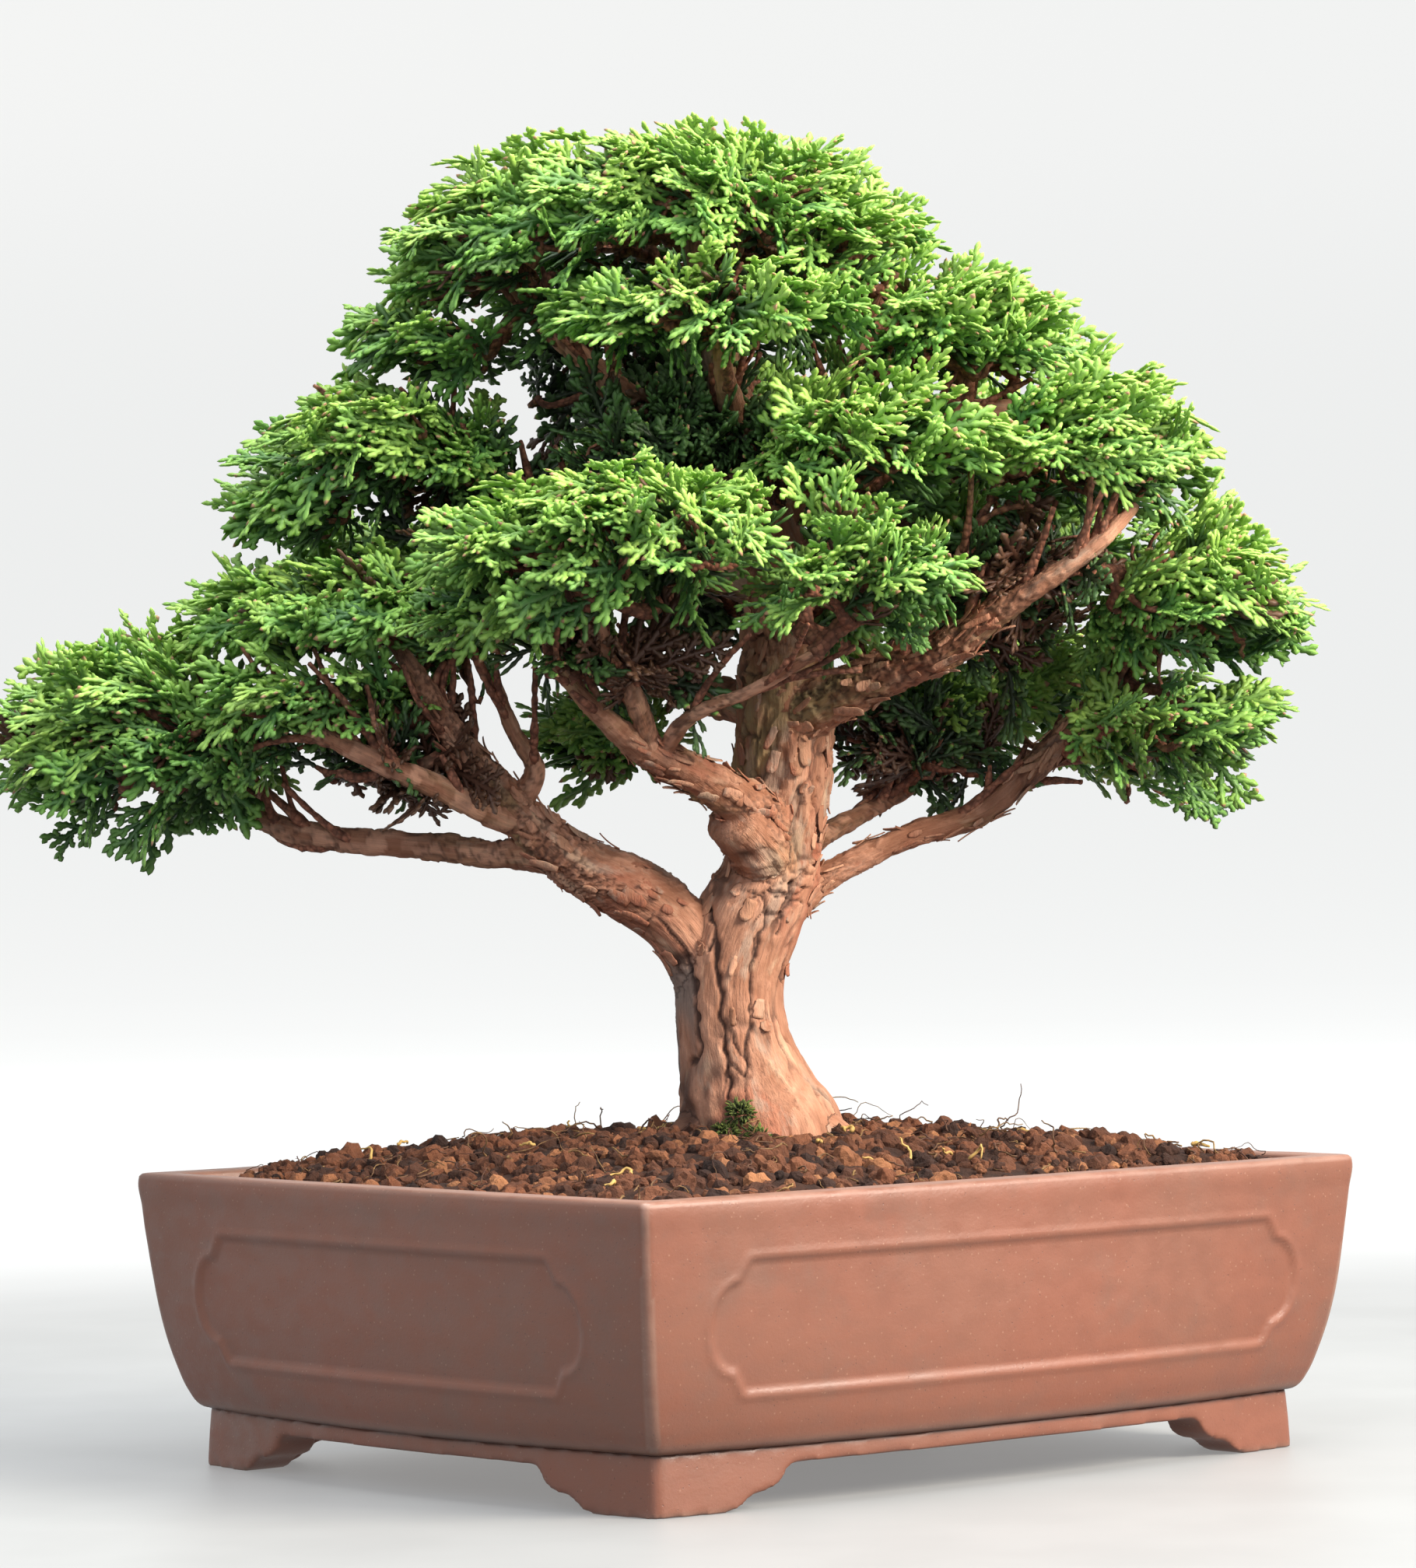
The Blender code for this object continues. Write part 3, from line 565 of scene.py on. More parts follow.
def melted(thing: bpy.types.Object, voxel: float, rounds: int) -> None:
    """Fuse what an object is made of into one even skin and soften its creases.

    Args:
        thing: The object.
        voxel: The size of the new skin's faces, in millimetres.
        rounds: How many times it is smoothed.
    """
    fuse = thing.modifiers.new("Fuse", "REMESH")
    fuse.mode = "VOXEL"
    fuse.voxel_size = voxel * MM
    soften = thing.modifiers.new("Soften", "SMOOTH")
    soften.factor = 0.5
    soften.iterations = rounds
    applied(thing)


def install(thing: bpy.types.Object, finish: "Finish", smooth: bool = True, *nodes: str) -> bpy.types.Object:
    """Dress a piece, let it ride on the part's body and report it.

    Args:
        thing: The piece, in place.
        finish: What it is made of.
        smooth: Whether light runs smoothly over its faces.
        nodes: The frame's nodes that it stands for.

    Returns:
        The piece.
    """
    thing.data.materials.clear()
    thing.data.materials.append(finish.material())
    thing.data.polygons.foreach_set("use_smooth", np.full(len(thing.data.polygons), smooth))
    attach(thing, "root")
    if nodes:
        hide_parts(*nodes)
    LOG.info("%s: %d faces, %s", thing.name, len(thing.data.polygons), type(finish).__name__)
    return thing


# ---------------------------------------------------------------- finishes


def add_node(tree: bpy.types.NodeTree, kind: str, inputs: dict | None = None, **settings) -> bpy.types.Node:
    """Add a shader node.

    Args:
        tree: The node tree.
        kind: The node's type, without "ShaderNode".
        inputs: For each input, by name or number, a value or the output that is linked to it.
        settings: The node's own properties.

    Returns:
        The node.
    """
    node = tree.nodes.new("ShaderNode" + kind)
    for key, value in settings.items():
        setattr(node, key, value)
    for key, value in (inputs or {}).items():
        if isinstance(value, bpy.types.NodeSocket):
            tree.links.new(value, node.inputs[key])
        else:
            node.inputs[key].default_value = value
    return node


class Blend(Enum):
    """How one colour is laid over another."""

    OVER = "MIX"
    DARKEN = "MULTIPLY"


class Brush:
    """Adds the nodes of one material and keeps the colour that its layers come to."""

    def __init__(self, tree: bpy.types.NodeTree) -> None:
        """Start on a node tree, with no colour yet."""
        self.tree = tree
        self.colour: object = None

    def node(self, kind: str, inputs: dict | None = None, output: int | str = 0,
             **settings) -> bpy.types.NodeSocket:
        """Add a node and give one of its outputs."""
        return add_node(self.tree, kind, inputs, **settings).outputs[output]

    def place(self) -> bpy.types.NodeSocket:
        """The point on the piece, in metres in its own frame."""
        return self.node("TexCoord", None, "Object")

    def palette(self) -> tuple[bpy.types.NodeSocket, bpy.types.NodeSocket]:
        """The two values that a piece keeps in the bake map."""
        split = add_node(self.tree, "SeparateXYZ", {0: self.node("UVMap", uv_map=BAKE_MAP)})
        return split.outputs[0], split.outputs[1]

    def mark(self, name: str, output: str = "Fac") -> bpy.types.NodeSocket:
        """A value that the mesh carries at each vertex."""
        return self.node("Attribute", None, output, attribute_name=name)

    def stretched(self, where: bpy.types.NodeSocket, x: float, y: float, z: float) -> bpy.types.NodeSocket:
        """A place whose coordinates are multiplied, each by its own factor."""
        return self.node("Mapping", {"Vector": where, "Scale": (x, y, z)})

    def grit(self, where: bpy.types.NodeSocket, size: float, detail: float = 3,
             rough: float = 0.55) -> bpy.types.NodeSocket:
        """Noise with lumps of a size in millimetres."""
        inputs = {"Vector": where, "Scale": per_mm(size), "Detail": detail, "Roughness": rough}
        return self.node("TexNoise", inputs, "Fac")

    def grains(self, where: bpy.types.NodeSocket, size: float) -> bpy.types.Node:
        """Cells of a size in millimetres, for their distances and their random colours."""
        return add_node(self.tree, "TexVoronoi", {"Vector": where, "Scale": per_mm(size)})

    def span(self, value: bpy.types.NodeSocket, low: float, high: float, to_low: float = 0,
             to_high: float = 1) -> bpy.types.NodeSocket:
        """Stretch a value from one range to another and hold it there."""
        inputs = {"Value": value, 1: low, 2: high, 3: to_low, 4: to_high}
        return self.node("MapRange", inputs, "Result", interpolation_type="SMOOTHSTEP")

    def over(self, part: object, under: object, top: object, how: Blend = Blend.OVER) -> bpy.types.NodeSocket:
        """Lay one colour over another, as far as part says."""
        return self.node("Mix", {0: part, 6: under, 7: top}, 2, data_type="RGBA", blend_type=how.value)

    def sums(self, how: str, first: object, second: object) -> bpy.types.NodeSocket:
        """The sum, product or other result of two values."""
        return self.node("Math", {0: first, 1: second}, operation=how)

    def start(self, part: object, under: str, top: str) -> None:
        """Begin with one hex colour over another."""
        self.colour = self.over(part, linear(under), linear(top))

    def layer(self, part: object, code: str) -> None:
        """Lay a hex colour over what is there, as far as part says."""
        self.colour = self.over(part, self.colour, linear(code))

    def darken(self, shade: bpy.types.NodeSocket) -> None:
        """Multiply what is there by a shade."""
        self.colour = self.over(1.0, self.colour, shade, Blend.DARKEN)

    def relief(self, shader: bpy.types.Node, height: bpy.types.NodeSocket, depth: float) -> None:
        """Tilt the shading as if the surface had this relief, its depth in millimetres."""
        inputs = {"Height": height, "Distance": depth * MM, "Strength": 1.0}
        self.tree.links.new(self.node("Bump", inputs, "Normal"), shader.inputs["Normal"])


@dataclass(frozen=True)
class Finish:
    """What every finish shares: a slot in the record, and a shader to start from."""

    slot: str = "unglazed_clay"
    roughness: float = 0.6
    ior: float = 1.5

    def material(self) -> bpy.types.Material:
        """Make the material, or find it if it has been made.

        Returns:
            The material.
        """
        name = type(self).__name__
        if name in bpy.data.materials:
            return bpy.data.materials[name]
        made = bpy.data.materials.new(name)
        made.use_nodes = True
        shader = made.node_tree.nodes["Principled BSDF"]
        shader.inputs["Roughness"].default_value = self.roughness
        shader.inputs["IOR"].default_value = self.ior
        brush = Brush(made.node_tree)
        self.paint(brush, shader)
        made.node_tree.links.new(brush.colour, shader.inputs["Base Color"])
        return made

    def paint(self, brush: Brush, shader: bpy.types.Node) -> None:
        """Add the nodes that give the colour, gloss and fine relief."""
        raise NotImplementedError


@dataclass(frozen=True)
class FiredClay(Finish):
    """Unglazed stoneware, pressed in a mould, wiped smooth and fired.

    It gives the eye a matt brick red with a soft satin where the wiping closed the surface, broad blotches
    from the kiln, pin-head specks of iron and grog, and pale dust on rubbed edges, which on the rim's top and
    the vertical corners is also a painted highlight.
    """

    slot: str = "unglazed_clay"
    roughness: float = 0.44
    ior: float = 1.6
    body: str = "#82503b"
    flushed: str = "#854e38"
    smoked: str = "#765343"
    iron: str = "#4c2a20"
    grog: str = "#a67f68"
    # pale dust on rubbed edges, also a painted highlight on the rim's top and the vertical corners
    dust: str = "#a58c7c"
    # near black, painted shade in the groove under the bowl's belly
    seam_shade_colour: str = "#281813"
    blotch_size: float = 46.0
    wipe_size: float = 9.0
    speck_size: float = 1.5  # grog is 0.2 to 0.5 mm; drawn coarser so that it shows
    grain_size: float = 0.9

    def paint(self, brush: Brush, shader: bpy.types.Node) -> None:
        """Blotches, wiping marks, specks, rubbed edges with a painted highlight, and painted shade in the
        joint below the bowl.

        Args:
            brush: What adds the nodes.
            shader: The material's own shader.
        """
        where = brush.place()
        blotch = brush.span(brush.grit(where, self.blotch_size, 4), 0.36, 0.64)
        brush.start(blotch, self.body, self.flushed)
        smoke = brush.span(brush.grit(where, self.blotch_size * 0.55, 5, 0.62), 0.48, 0.75, 0, 0.6)
        brush.layer(smoke, self.smoked)
        flat = brush.stretched(where, 1, 1, 1.6)
        wipe = brush.grit(flat, self.wipe_size, 4, 0.6)
        shade = brush.span(wipe, 0.3, 0.7, 0.92, 1.0)
        brush.darken(shade)
        specks = brush.grains(where, self.speck_size)
        dark = brush.span(specks.outputs["Distance"], 0.08, 0.2, 0.55, 0)
        rare = brush.span(brush.grit(where, 3.0, 2), 0.5, 0.62)
        iron = brush.sums("MULTIPLY", dark, rare)
        brush.layer(iron, self.iron)
        elsewhere = brush.node("Mapping", {"Vector": where, "Location": (0.4, 0.2, 0.7)})
        pale = brush.grains(elsewhere, self.speck_size * 1.6)
        light = brush.span(pale.outputs["Distance"], 0.05, 0.15, 0.5, 0)
        brush.layer(light, self.grog)
        # pale dust where the pot is rubbed, and a painted highlight along the rim's top and down the vertical
        # corners
        uneven = brush.span(wipe, 0.25, 0.7, 0.45, 1)
        brush.layer(brush.sums("MULTIPLY", brush.mark("wear_and_sheen"), uneven), self.dust)
        # painted shade in the groove where the bowl's belly overhangs the plinth
        brush.layer(brush.mark("seam"), self.seam_shade_colour)
        gloss = brush.span(wipe, 0.3, 0.7, self.roughness - 0.07, self.roughness + 0.1)
        brush.tree.links.new(gloss, shader.inputs["Roughness"])
        grain = brush.grit(where, self.grain_size, 4, 0.65)
        height = brush.sums("ADD", grain, brush.sums("MULTIPLY", wipe, 1.6))
        brush.relief(shader, brush.sums("SUBTRACT", height, iron), 0.07)


@dataclass(frozen=True)
class CypressBark(Finish):
    """Cypress bark, grown, splitting into long strips.

    It gives the eye warm red-brown fibres along the limb, paler where a strip has just come off, near black
    in the fissures, partly their own dark and partly painted shade, with an olive film of algae high up and a
    grey weathered strip. The knob's hollow and a nook beside it are painted dark as shade.
    """

    slot: str = "cypress_bark"
    roughness: float = 0.78
    ior: float = 1.45
    fresh: str = "#d8a080"
    old: str = "#9e684b"
    pale: str = "#e2be9c"
    olive: str = "#a8915f"
    grey: str = "#857a70"
    russet: str = "#ad664a"
    ashen: str = "#b9a18c"
    # near black in the cracks and the crust at the foot, partly painted shade
    fissure_crust_and_shade: str = "#38211a"
    fibre: float = 0.7  # real fibres are under 0.1 mm; drawn as bundles so that they show
    fibre_run: float = 14.0
    patch: float = 11.0

    def paint(self, brush: Brush, shader: bpy.types.Node) -> None:
        """Fibres along the grain, plates of several tones and dark fissures, partly painted shade.

        Args:
            brush: What adds the nodes.
            shader: The material's own shader.
        """
        grain = brush.mark("grain", "Vector")
        fibres = brush.grit(brush.stretched(grain, 1, 1, self.fibre / self.fibre_run), self.fibre, 4, 0.6)
        flat = brush.stretched(grain, 1, 1, 0.35)
        patches = brush.grit(flat, self.patch, 4, 0.6)
        tone = brush.sums("MULTIPLY", brush.mark("plate"), 0.5)
        tone = brush.sums("ADD", tone, brush.sums("MULTIPLY", patches, 0.75))
        brush.start(brush.span(tone, 0.3, 0.85), self.old, self.fresh)
        bare = brush.span(brush.grit(flat, self.patch * 0.6, 3), 0.56, 0.72, 0, 0.65)
        brush.layer(bare, self.pale)
        red = brush.span(brush.grit(flat, self.patch * 1.7, 4), 0.48, 0.6, 0, 0.7)
        brush.layer(red, self.russet)
        ash = brush.span(brush.grit(flat, self.patch * 0.9, 5, 0.65), 0.52, 0.64, 0, 0.65)
        brush.layer(ash, self.ashen)
        film = brush.sums("MULTIPLY", brush.mark("algae"), brush.span(patches, 0.42, 0.6))
        brush.layer(film, self.olive)
        brush.layer(brush.mark("weathered"), self.grey)
        streak = brush.span(fibres, 0.3, 0.68, 0.84, 1.04)
        brush.darken(streak)
        # the cracks' own dark and the crust, with painted shade in the fissures, the knob's hollow and the
        # nook
        brush.layer(brush.mark("fissure_crust_and_shade"), self.fissure_crust_and_shade)
        fine = brush.grit(flat, 1.6, 5, 0.72)
        spots = brush.span(fine, 0.28, 0.46, 0.6, 1.0)
        brush.darken(spots)
        height = brush.sums("ADD", fibres, brush.sums("MULTIPLY", fine, 1.6))
        brush.relief(shader, height, 0.4)


@dataclass(frozen=True)
class TwigBark(Finish):
    """Young cypress wood still covered with dead scale leaves.

    It gives the eye a rusty red-brown broken into small overlapping flakes, darker towards their edges as
    painted shade in the gaps.
    """

    slot: str = "cypress_bark"
    roughness: float = 0.8
    ior: float = 1.45
    rust: str = "#b5765a"
    umber: str = "#7a4a36"
    straw: str = "#cf9f7c"
    flake: float = 1.7

    def paint(self, brush: Brush, shader: bpy.types.Node) -> None:
        """Small flakes, each of its own tone, with painted shade towards their edges.

        Args:
            brush: What adds the nodes.
            shader: The material's own shader.
        """
        where = brush.place()
        flakes = brush.grains(where, self.flake)
        tone = brush.node("SeparateColor", {0: flakes.outputs["Color"]})
        brush.start(tone, self.umber, self.rust)
        old = brush.span(brush.grit(where, 7.0), 0.55, 0.75, 0, 0.6)
        brush.layer(old, self.straw)
        # painted shade in the gaps between the flakes
        gap = brush.span(flakes.outputs["Distance"], 0.35, 0.75, 1.0, 0.45)
        brush.darken(gap)
        brush.relief(shader, brush.span(flakes.outputs["Distance"], 0.1, 0.8, 1, 0), 0.4)


@dataclass(frozen=True)
class HinokiScales(Finish):
    """Living hinoki scale leaves with a thin wax.

    It gives the eye a deep green that turns to lime on this year's tips, with painted shade in the creases
    between scales and under them, and a low satin gloss. Tone runs along the bake map's first axis and holds
    painted light and shade as well as each spray's own tone; how young each part is, with the painted shade
    of creases and undersides, runs along its second.
    """

    slot: str = "hinoki_foliage"
    roughness: float = 0.5
    ior: float = 1.45
    shade_old: str = "#1f2f19"
    shade_young: str = "#4c6e3a"
    cool_old: str = "#48783e"
    cool_young: str = "#7cb04e"
    warm_old: str = "#769e48"
    warm_young: str = "#a2c85c"
    dead_old: str = "#4c3022"
    dead_young: str = "#b08a66"

    def paint(self, brush: Brush, shader: bpy.types.Node) -> None:
        """One ramp for old scales and one for young ones, mixed by how young each part is, with its painted
        shade.

        Args:
            brush: What adds the nodes.
            shader: The material's own shader.
        """
        tone, age = brush.palette()
        old = (self.shade_old, self.cool_old, self.warm_old, self.dead_old)
        young = (self.shade_young, self.cool_young, self.warm_young, self.dead_young)
        ramps = []
        for shade, cool, warm, dead in (old, young):
            ramp = add_node(brush.tree, "ValToRGB", {0: tone})
            stops = ramp.color_ramp.elements
            stops[0].position = 0.08
            stops[1].position = 0.93
            stops[0].color = linear(shade)
            stops[1].color = linear(dead)
            stops.new(0.42).color = linear(cool)
            stops.new(0.84).color = linear(warm)
            ramps.append(ramp.outputs[0])
        brush.colour = brush.over(brush.span(age, 0.12, 0.92), *ramps)
        scales = brush.grit(brush.place(), 0.9, 2)
        brush.relief(shader, scales, 0.12)


@dataclass(frozen=True)
class Akadama(Finish):
    """Akadama, a baked volcanic clay in crumbs, moist.

    It gives the eye a matt dark red-brown, each crumb of its own tone, with painted shade in its dents and a
    painted highlight on its high spots.
    """

    slot: str = "akadama_soil"
    roughness: float = 0.88
    ior: float = 1.45
    # the dark of moist crumbs, and painted shade on the bed between them
    wet: str = "#2a170f"
    crumb: str = "#75472e"
    dry: str = "#b87f54"
    pore: float = 0.8

    def paint(self, brush: Brush, shader: bpy.types.Node) -> None:
        """The crumb's own tone, then painted shade and highlight by the height on the crumb, then pores.

        Args:
            brush: What adds the nodes.
            shader: The material's own shader.
        """
        tone, height = brush.palette()
        brush.start(brush.span(tone, 0, 0.6), self.wet, self.crumb)
        brush.layer(brush.span(tone, 0.6, 1, 0, 0.8), self.dry)
        # painted shade in each crumb's dents and a painted highlight on its knobs
        brush.darken(brush.span(height, 0, 1, 0.5, 1.15))
        brush.relief(shader, brush.grit(brush.place(), self.pore, 4, 0.7), 0.9)


@dataclass(frozen=True)
class DryFibre(Finish):
    """Dead roots and straw, dried on the soil.

    They give the eye thin threads from dark brown to pale straw.
    """

    slot: str = "akadama_soil"
    roughness: float = 0.7
    ior: float = 1.5
    root: str = "#4a2a1c"
    straw: str = "#c9a45c"

    def paint(self, brush: Brush, shader: bpy.types.Node) -> None:
        """Each thread's own tone with a little mottling.

        Args:
            brush: What adds the nodes.
            shader: The material's own shader.
        """
        mottle = brush.span(brush.grit(brush.place(), 2.0), 0.3, 0.7, -0.15, 0.15)
        tone = brush.sums("ADD", brush.mark("tone"), mottle)
        brush.start(brush.span(tone, 0, 1), self.root, self.straw)


@dataclass(frozen=True)
class CushionMoss(Finish):
    """Moss, living and moist.

    It gives the eye a velvety dark green with yellow-green leaf tips.
    """

    slot: str = "moss"
    roughness: float = 0.8
    ior: float = 1.45
    deep: str = "#2a3216"
    tip: str = "#74853a"

    def paint(self, brush: Brush, shader: bpy.types.Node) -> None:
        """Dark at the foot of each leaf and light at its tip.

        Args:
            brush: What adds the nodes.
            shader: The material's own shader.
        """
        mottle = brush.span(brush.grit(brush.place(), 2.5), 0.3, 0.7, -0.2, 0.2)
        light = brush.sums("ADD", brush.mark("tone"), mottle)
        brush.start(brush.span(light, 0, 1), self.deep, self.tip)


@dataclass(frozen=True)
class MouldedMesh(Finish):
    """Black polyethylene, injection moulded as drainage mesh.

    It gives the eye a dull black with a faint moulded grain and soil dust.
    """

    slot: str = "black_mesh"
    roughness: float = 0.55
    ior: float = 1.51
    black: str = "#1a1a19"
    dust: str = "#4a382c"

    def paint(self, brush: Brush, shader: bpy.types.Node) -> None:
        """Dust in patches and a fine grain.

        Args:
            brush: What adds the nodes.
            shader: The material's own shader.
        """
        where = brush.place()
        dusty = brush.span(brush.grit(where, 5.0, 4), 0.45, 0.7, 0.05, 0.6)
        brush.start(dusty, self.black, self.dust)
        brush.relief(shader, brush.grit(where, 0.6), 0.05)


@dataclass(frozen=True)
class DrawnAluminium(Finish):
    """Aluminium wire, drawn and brown anodised.

    It gives the eye a dull bronze with lengthwise draw marks.
    """

    slot: str = "aluminium_wire"
    roughness: float = 0.42
    bronze: str = "#8a6a50"
    bare: str = "#b9a48e"

    def paint(self, brush: Brush, shader: bpy.types.Node) -> None:
        """Rubbed patches and fine draw marks.

        Args:
            brush: What adds the nodes.
            shader: The material's own shader.
        """
        where = brush.place()
        rubbed = brush.span(brush.grit(where, 3.0), 0.5, 0.7)
        brush.start(rubbed, self.bronze, self.bare)
        shader.inputs["Metallic"].default_value = 1.0
        brush.relief(shader, brush.grit(brush.stretched(where, 0.1, 1, 1), 0.3), 0.02)


# ---------------------------------------------------------------- the pot


@dataclass
class ClayPot:
    """A rectangular tray pot: a bowl with sunk panels on a plinth cut into four bracket feet."""

    middle: np.ndarray
    length: float = 254.6
    width: float = 217.4
    rim_bow: float = 1.0  # how far the middle of a side stands out past its corners
    seam_bow: float = 8.0
    corner_reach: float = 2.8
    point_gap: float = 1.2
    ring_gap: float = 0.9
    seam_height: float = 15.8
    rim_height: float = 80.0
    # (height, inset) up the outside, over the rim and down the inside
    outside: tuple = ((15.8, 13), (16.2, 11.9), (17.2, 10.9), (20.5, 9.2), (27.5, 6.9), (40, 4.1), (51, 2.6),
                      (62, 1.4), (71, 0.6), (78.4, 0))
    rim: tuple = ((79.3, 0.15), (79.85, 0.7), (80, 1.5), (80, 3.4), (80, 5.4), (80, 7.4), (79.8, 8.5),
                  (79, 9.4))
    inside: tuple = ((74, 9.5), (60, 11), (45, 12.4), (28, 15.6), (21, 19), (19, 23))
    plinth_insets: tuple = (12.8, 13.6)
    plinth_wall: float = 13.0
    floor_underside: float = 12.4
    foot_edge: tuple = ((22, 0), (25, 1), (29, 3.6), (36, 5.4), (38.5, 7), (41, 10.3), (48.5, 11.3))
    panel_top: float = 64.2
    panel_bottom: float = 30.5
    panel_depth: float = 0.8
    panel_reach: tuple = (22.6, 27.0)  # from the rim's end to the panel's end, on a long and a short side
    panel_notch: tuple = (12.0, 5.6)
    panel_bulge: float = 8.5
    bead_height: float = 0.34
    kiln_waves: float = 0.16  # how far the walls warped in the fire
    drain_radius: float = 9.0
    drain_offset: float = 58.0

    def outline(self, inset: float, height: float, spread: float = 1.0) -> np.ndarray:
        """The pot's plan at a height: four bowed sides and rounded corners.

        Args:
            inset: How far in from the rim's outline.
            height: The height above the ground.
            spread: A scale for the whole plan.

        Returns:
            Points anticlockwise from the front left, always as many.
        """
        part = min(1.0, max(0.0, (height - self.seam_height) / (self.rim_height - self.seam_height)))
        bow = self.seam_bow + (self.rim_bow - self.seam_bow) * part
        half = np.array((self.length / 2 - inset, self.width / 2 - inset))
        corners = [np.array(signs) * half for signs in ((-1, -1), (1, -1), (1, 1), (-1, 1))]
        sides = []
        for number, start in enumerate(corners):
            end = corners[(number + 1) % 4]
            along = end - start
            out = np.array((along[1], -along[0])) / np.linalg.norm(along)
            margin = self.corner_reach / np.linalg.norm(along)
            steps = int((self.length if number % 2 == 0 else self.width) / self.point_gap)
            t = np.linspace(margin, 1 - margin, steps)[:, None]
            sides.append(start + along * t + out * bow * (1 - (2 * t - 1) ** 2))
        ring = []
        for number, side in enumerate(sides):
            following = (number + 1) % 4
            t = np.linspace(0, 1, 7)[1:-1, None]
            pull = corners[following] * 2 * t * (1 - t)
            ring += [side, side[-1] * (1 - t) ** 2 + pull + sides[following][0] * t**2]
        plan = np.concatenate(ring) * spread
        return np.column_stack((plan, np.full(len(plan), height)))

    def panel_outline(self, half: float) -> np.ndarray:
        """A sunk panel's edge: straight top and bottom, stepped corners and ends that bulge.

        Args:
            half: Half the panel's length.

        Returns:
            Points (along, up) round the panel.
        """
        along, up = self.panel_notch
        low, high = self.panel_bottom + up, self.panel_top - up
        turn = np.linspace(-math.pi / 2, math.pi / 2, 17)
        bend = half - self.panel_bulge
        arc = np.column_stack((bend + self.panel_bulge * np.cos(turn),
                               (low + high) / 2 + (high - low) / 2 * np.sin(turn)))
        right = np.concatenate(([(half - along, self.panel_bottom)], arc, [(half - along, self.panel_top)]))
        left = right[::-1] * (-1, 1)
        return np.concatenate((right, left))

    @staticmethod
    def depth_inside(points: np.ndarray, outline: np.ndarray) -> np.ndarray:
        """How far points are inside a closed outline, negative outside.

        Args:
            points: Points on the flat, one a row.
            outline: The outline's corners.

        Returns:
            A signed distance for each point.
        """
        nearest = np.full(len(points), np.inf)
        inside = np.zeros(len(points), bool)
        for start, end in zip(outline, np.roll(outline, -1, axis=0)):
            along = end - start
            t = np.clip((points - start) @ along / max(along @ along, 1e-9), 0, 1)
            nearest = np.minimum(nearest, np.linalg.norm(points - start - t[:, None] * along, axis=1))
            if start[1] != end[1]:
                crosses = (points[:, 1] < start[1]) != (points[:, 1] < end[1])
                cut = start[0] + (points[:, 1] - start[1]) * along[0] / along[1]
                inside ^= crosses & (points[:, 0] < cut)
        return np.where(inside, nearest, -nearest)

    def profile(self) -> np.ndarray:
        """The wall's section, (height, inset), evenly stepped and smooth outside.

        Returns:
            Rows of height and inset.
        """
        knots = np.array(self.outside + self.rim)
        outer = smooth_path(np.column_stack((knots, np.zeros(len(knots)))), self.ring_gap)[:, :2]
        return np.concatenate((outer, np.array(self.inside)))

    def bowl(self) -> bpy.types.Object:
        """The bowl with its panels, rim and drain holes.

        Returns:
            The piece, in place.
        """
        section = self.profile()
        rings = np.array([self.outline(inset, height) for height, inset in section])
        skin = loft(rings)
        thing = new_object("pot_bowl", skin.mesh("pot_bowl"))
        points = read_points(thing.data)
        normals = read_normals(thing.data)
        outer = np.repeat(np.arange(len(section)) < len(section) - len(self.inside) - 8, rings.shape[1])
        lift = np.zeros(len(points))
        for axis, full in enumerate((self.length, self.width)):
            edge = self.panel_outline(full / 2 - self.panel_reach[axis])
            facing = outer & (np.abs(normals[:, 1 - axis]) > 0.8)
            depth = self.depth_inside(points[facing][:, (axis, 2)], edge)
            sunk = -self.panel_depth * ease((depth + 0.2) / 1.4)
            bead = self.bead_height * np.exp(-(((depth + 1.0) / 0.8) ** 2))
            lift[facing] = sunk + bead
        waves = self.kiln_waves * noise(points, (34, 34, 16), 3) + 0.05 * noise(points, 6, 4)
        points += normals * (lift + waves * outer)[:, None]
        set_points(thing.data, points + self.middle)
        height = points[:, 2]
        # The pale mark: real wear low on the bowl and on the rim, and a painted highlight along the rim's top
        # and down the vertical corners
        rim = ease((height - 78.2) / 1.6)
        low = ease((19.5 - height) / 3.0) * 0.35
        corner = np.min((self.length / 2, self.width / 2) - np.abs(points[:, :2]), axis=1)
        corner_wear_and_sheen = np.all(np.abs(normals[:, :2]) > 0.25, axis=1) & (corner < 30)
        set_mark(thing.data, "wear_and_sheen", np.clip(np.maximum(rim * 0.4, low) + 0.35 * corner_wear_and_sheen, 0, 1))
        # painted shade in the groove under the bowl's belly, made patchy by noise
        patchy = 0.65 + 0.35 * noise(points, 5, 8)
        set_mark(thing.data, "seam", ease((17.0 - height) / 1.0) * patchy)
        holes = []
        for side in (-1, 1):
            ends = np.array([(side * self.drain_offset, 0.0, z) for z in (0.0, 30.0)]) + self.middle
            holes.append(tube(ends, np.full(2, self.drain_radius), 48, 0))
        carved(thing, holes)
        return thing

    def foot_gap(self, half: float, reach: float, axis: int) -> Skin:
        """The opening between two bracket feet, right through the plinth.

        Args:
            half: Half the plinth's side.
            reach: How far the opening runs each way.
            axis: 0 if the side runs along X, 1 along Y.

        Returns:
            The tool that cuts it.
        """
        knots = np.array([(half - along, up, 0) for along, up in self.foot_edge])
        right = smooth_path(knots, 1.5)[:, :2]
        left = right[::-1] * (-1, 1)
        edge = np.concatenate(([(right[0][0], -5)], right, left, [(left[-1][0], -5)]))
        ends = []
        for depth in (-reach, reach):
            ring = np.column_stack((edge[:, 0], np.full(len(edge), depth), edge[:, 1]))
            ends.append(ring if axis == 0 else ring[:, (1, 0, 2)])
        return loft(np.array(ends))

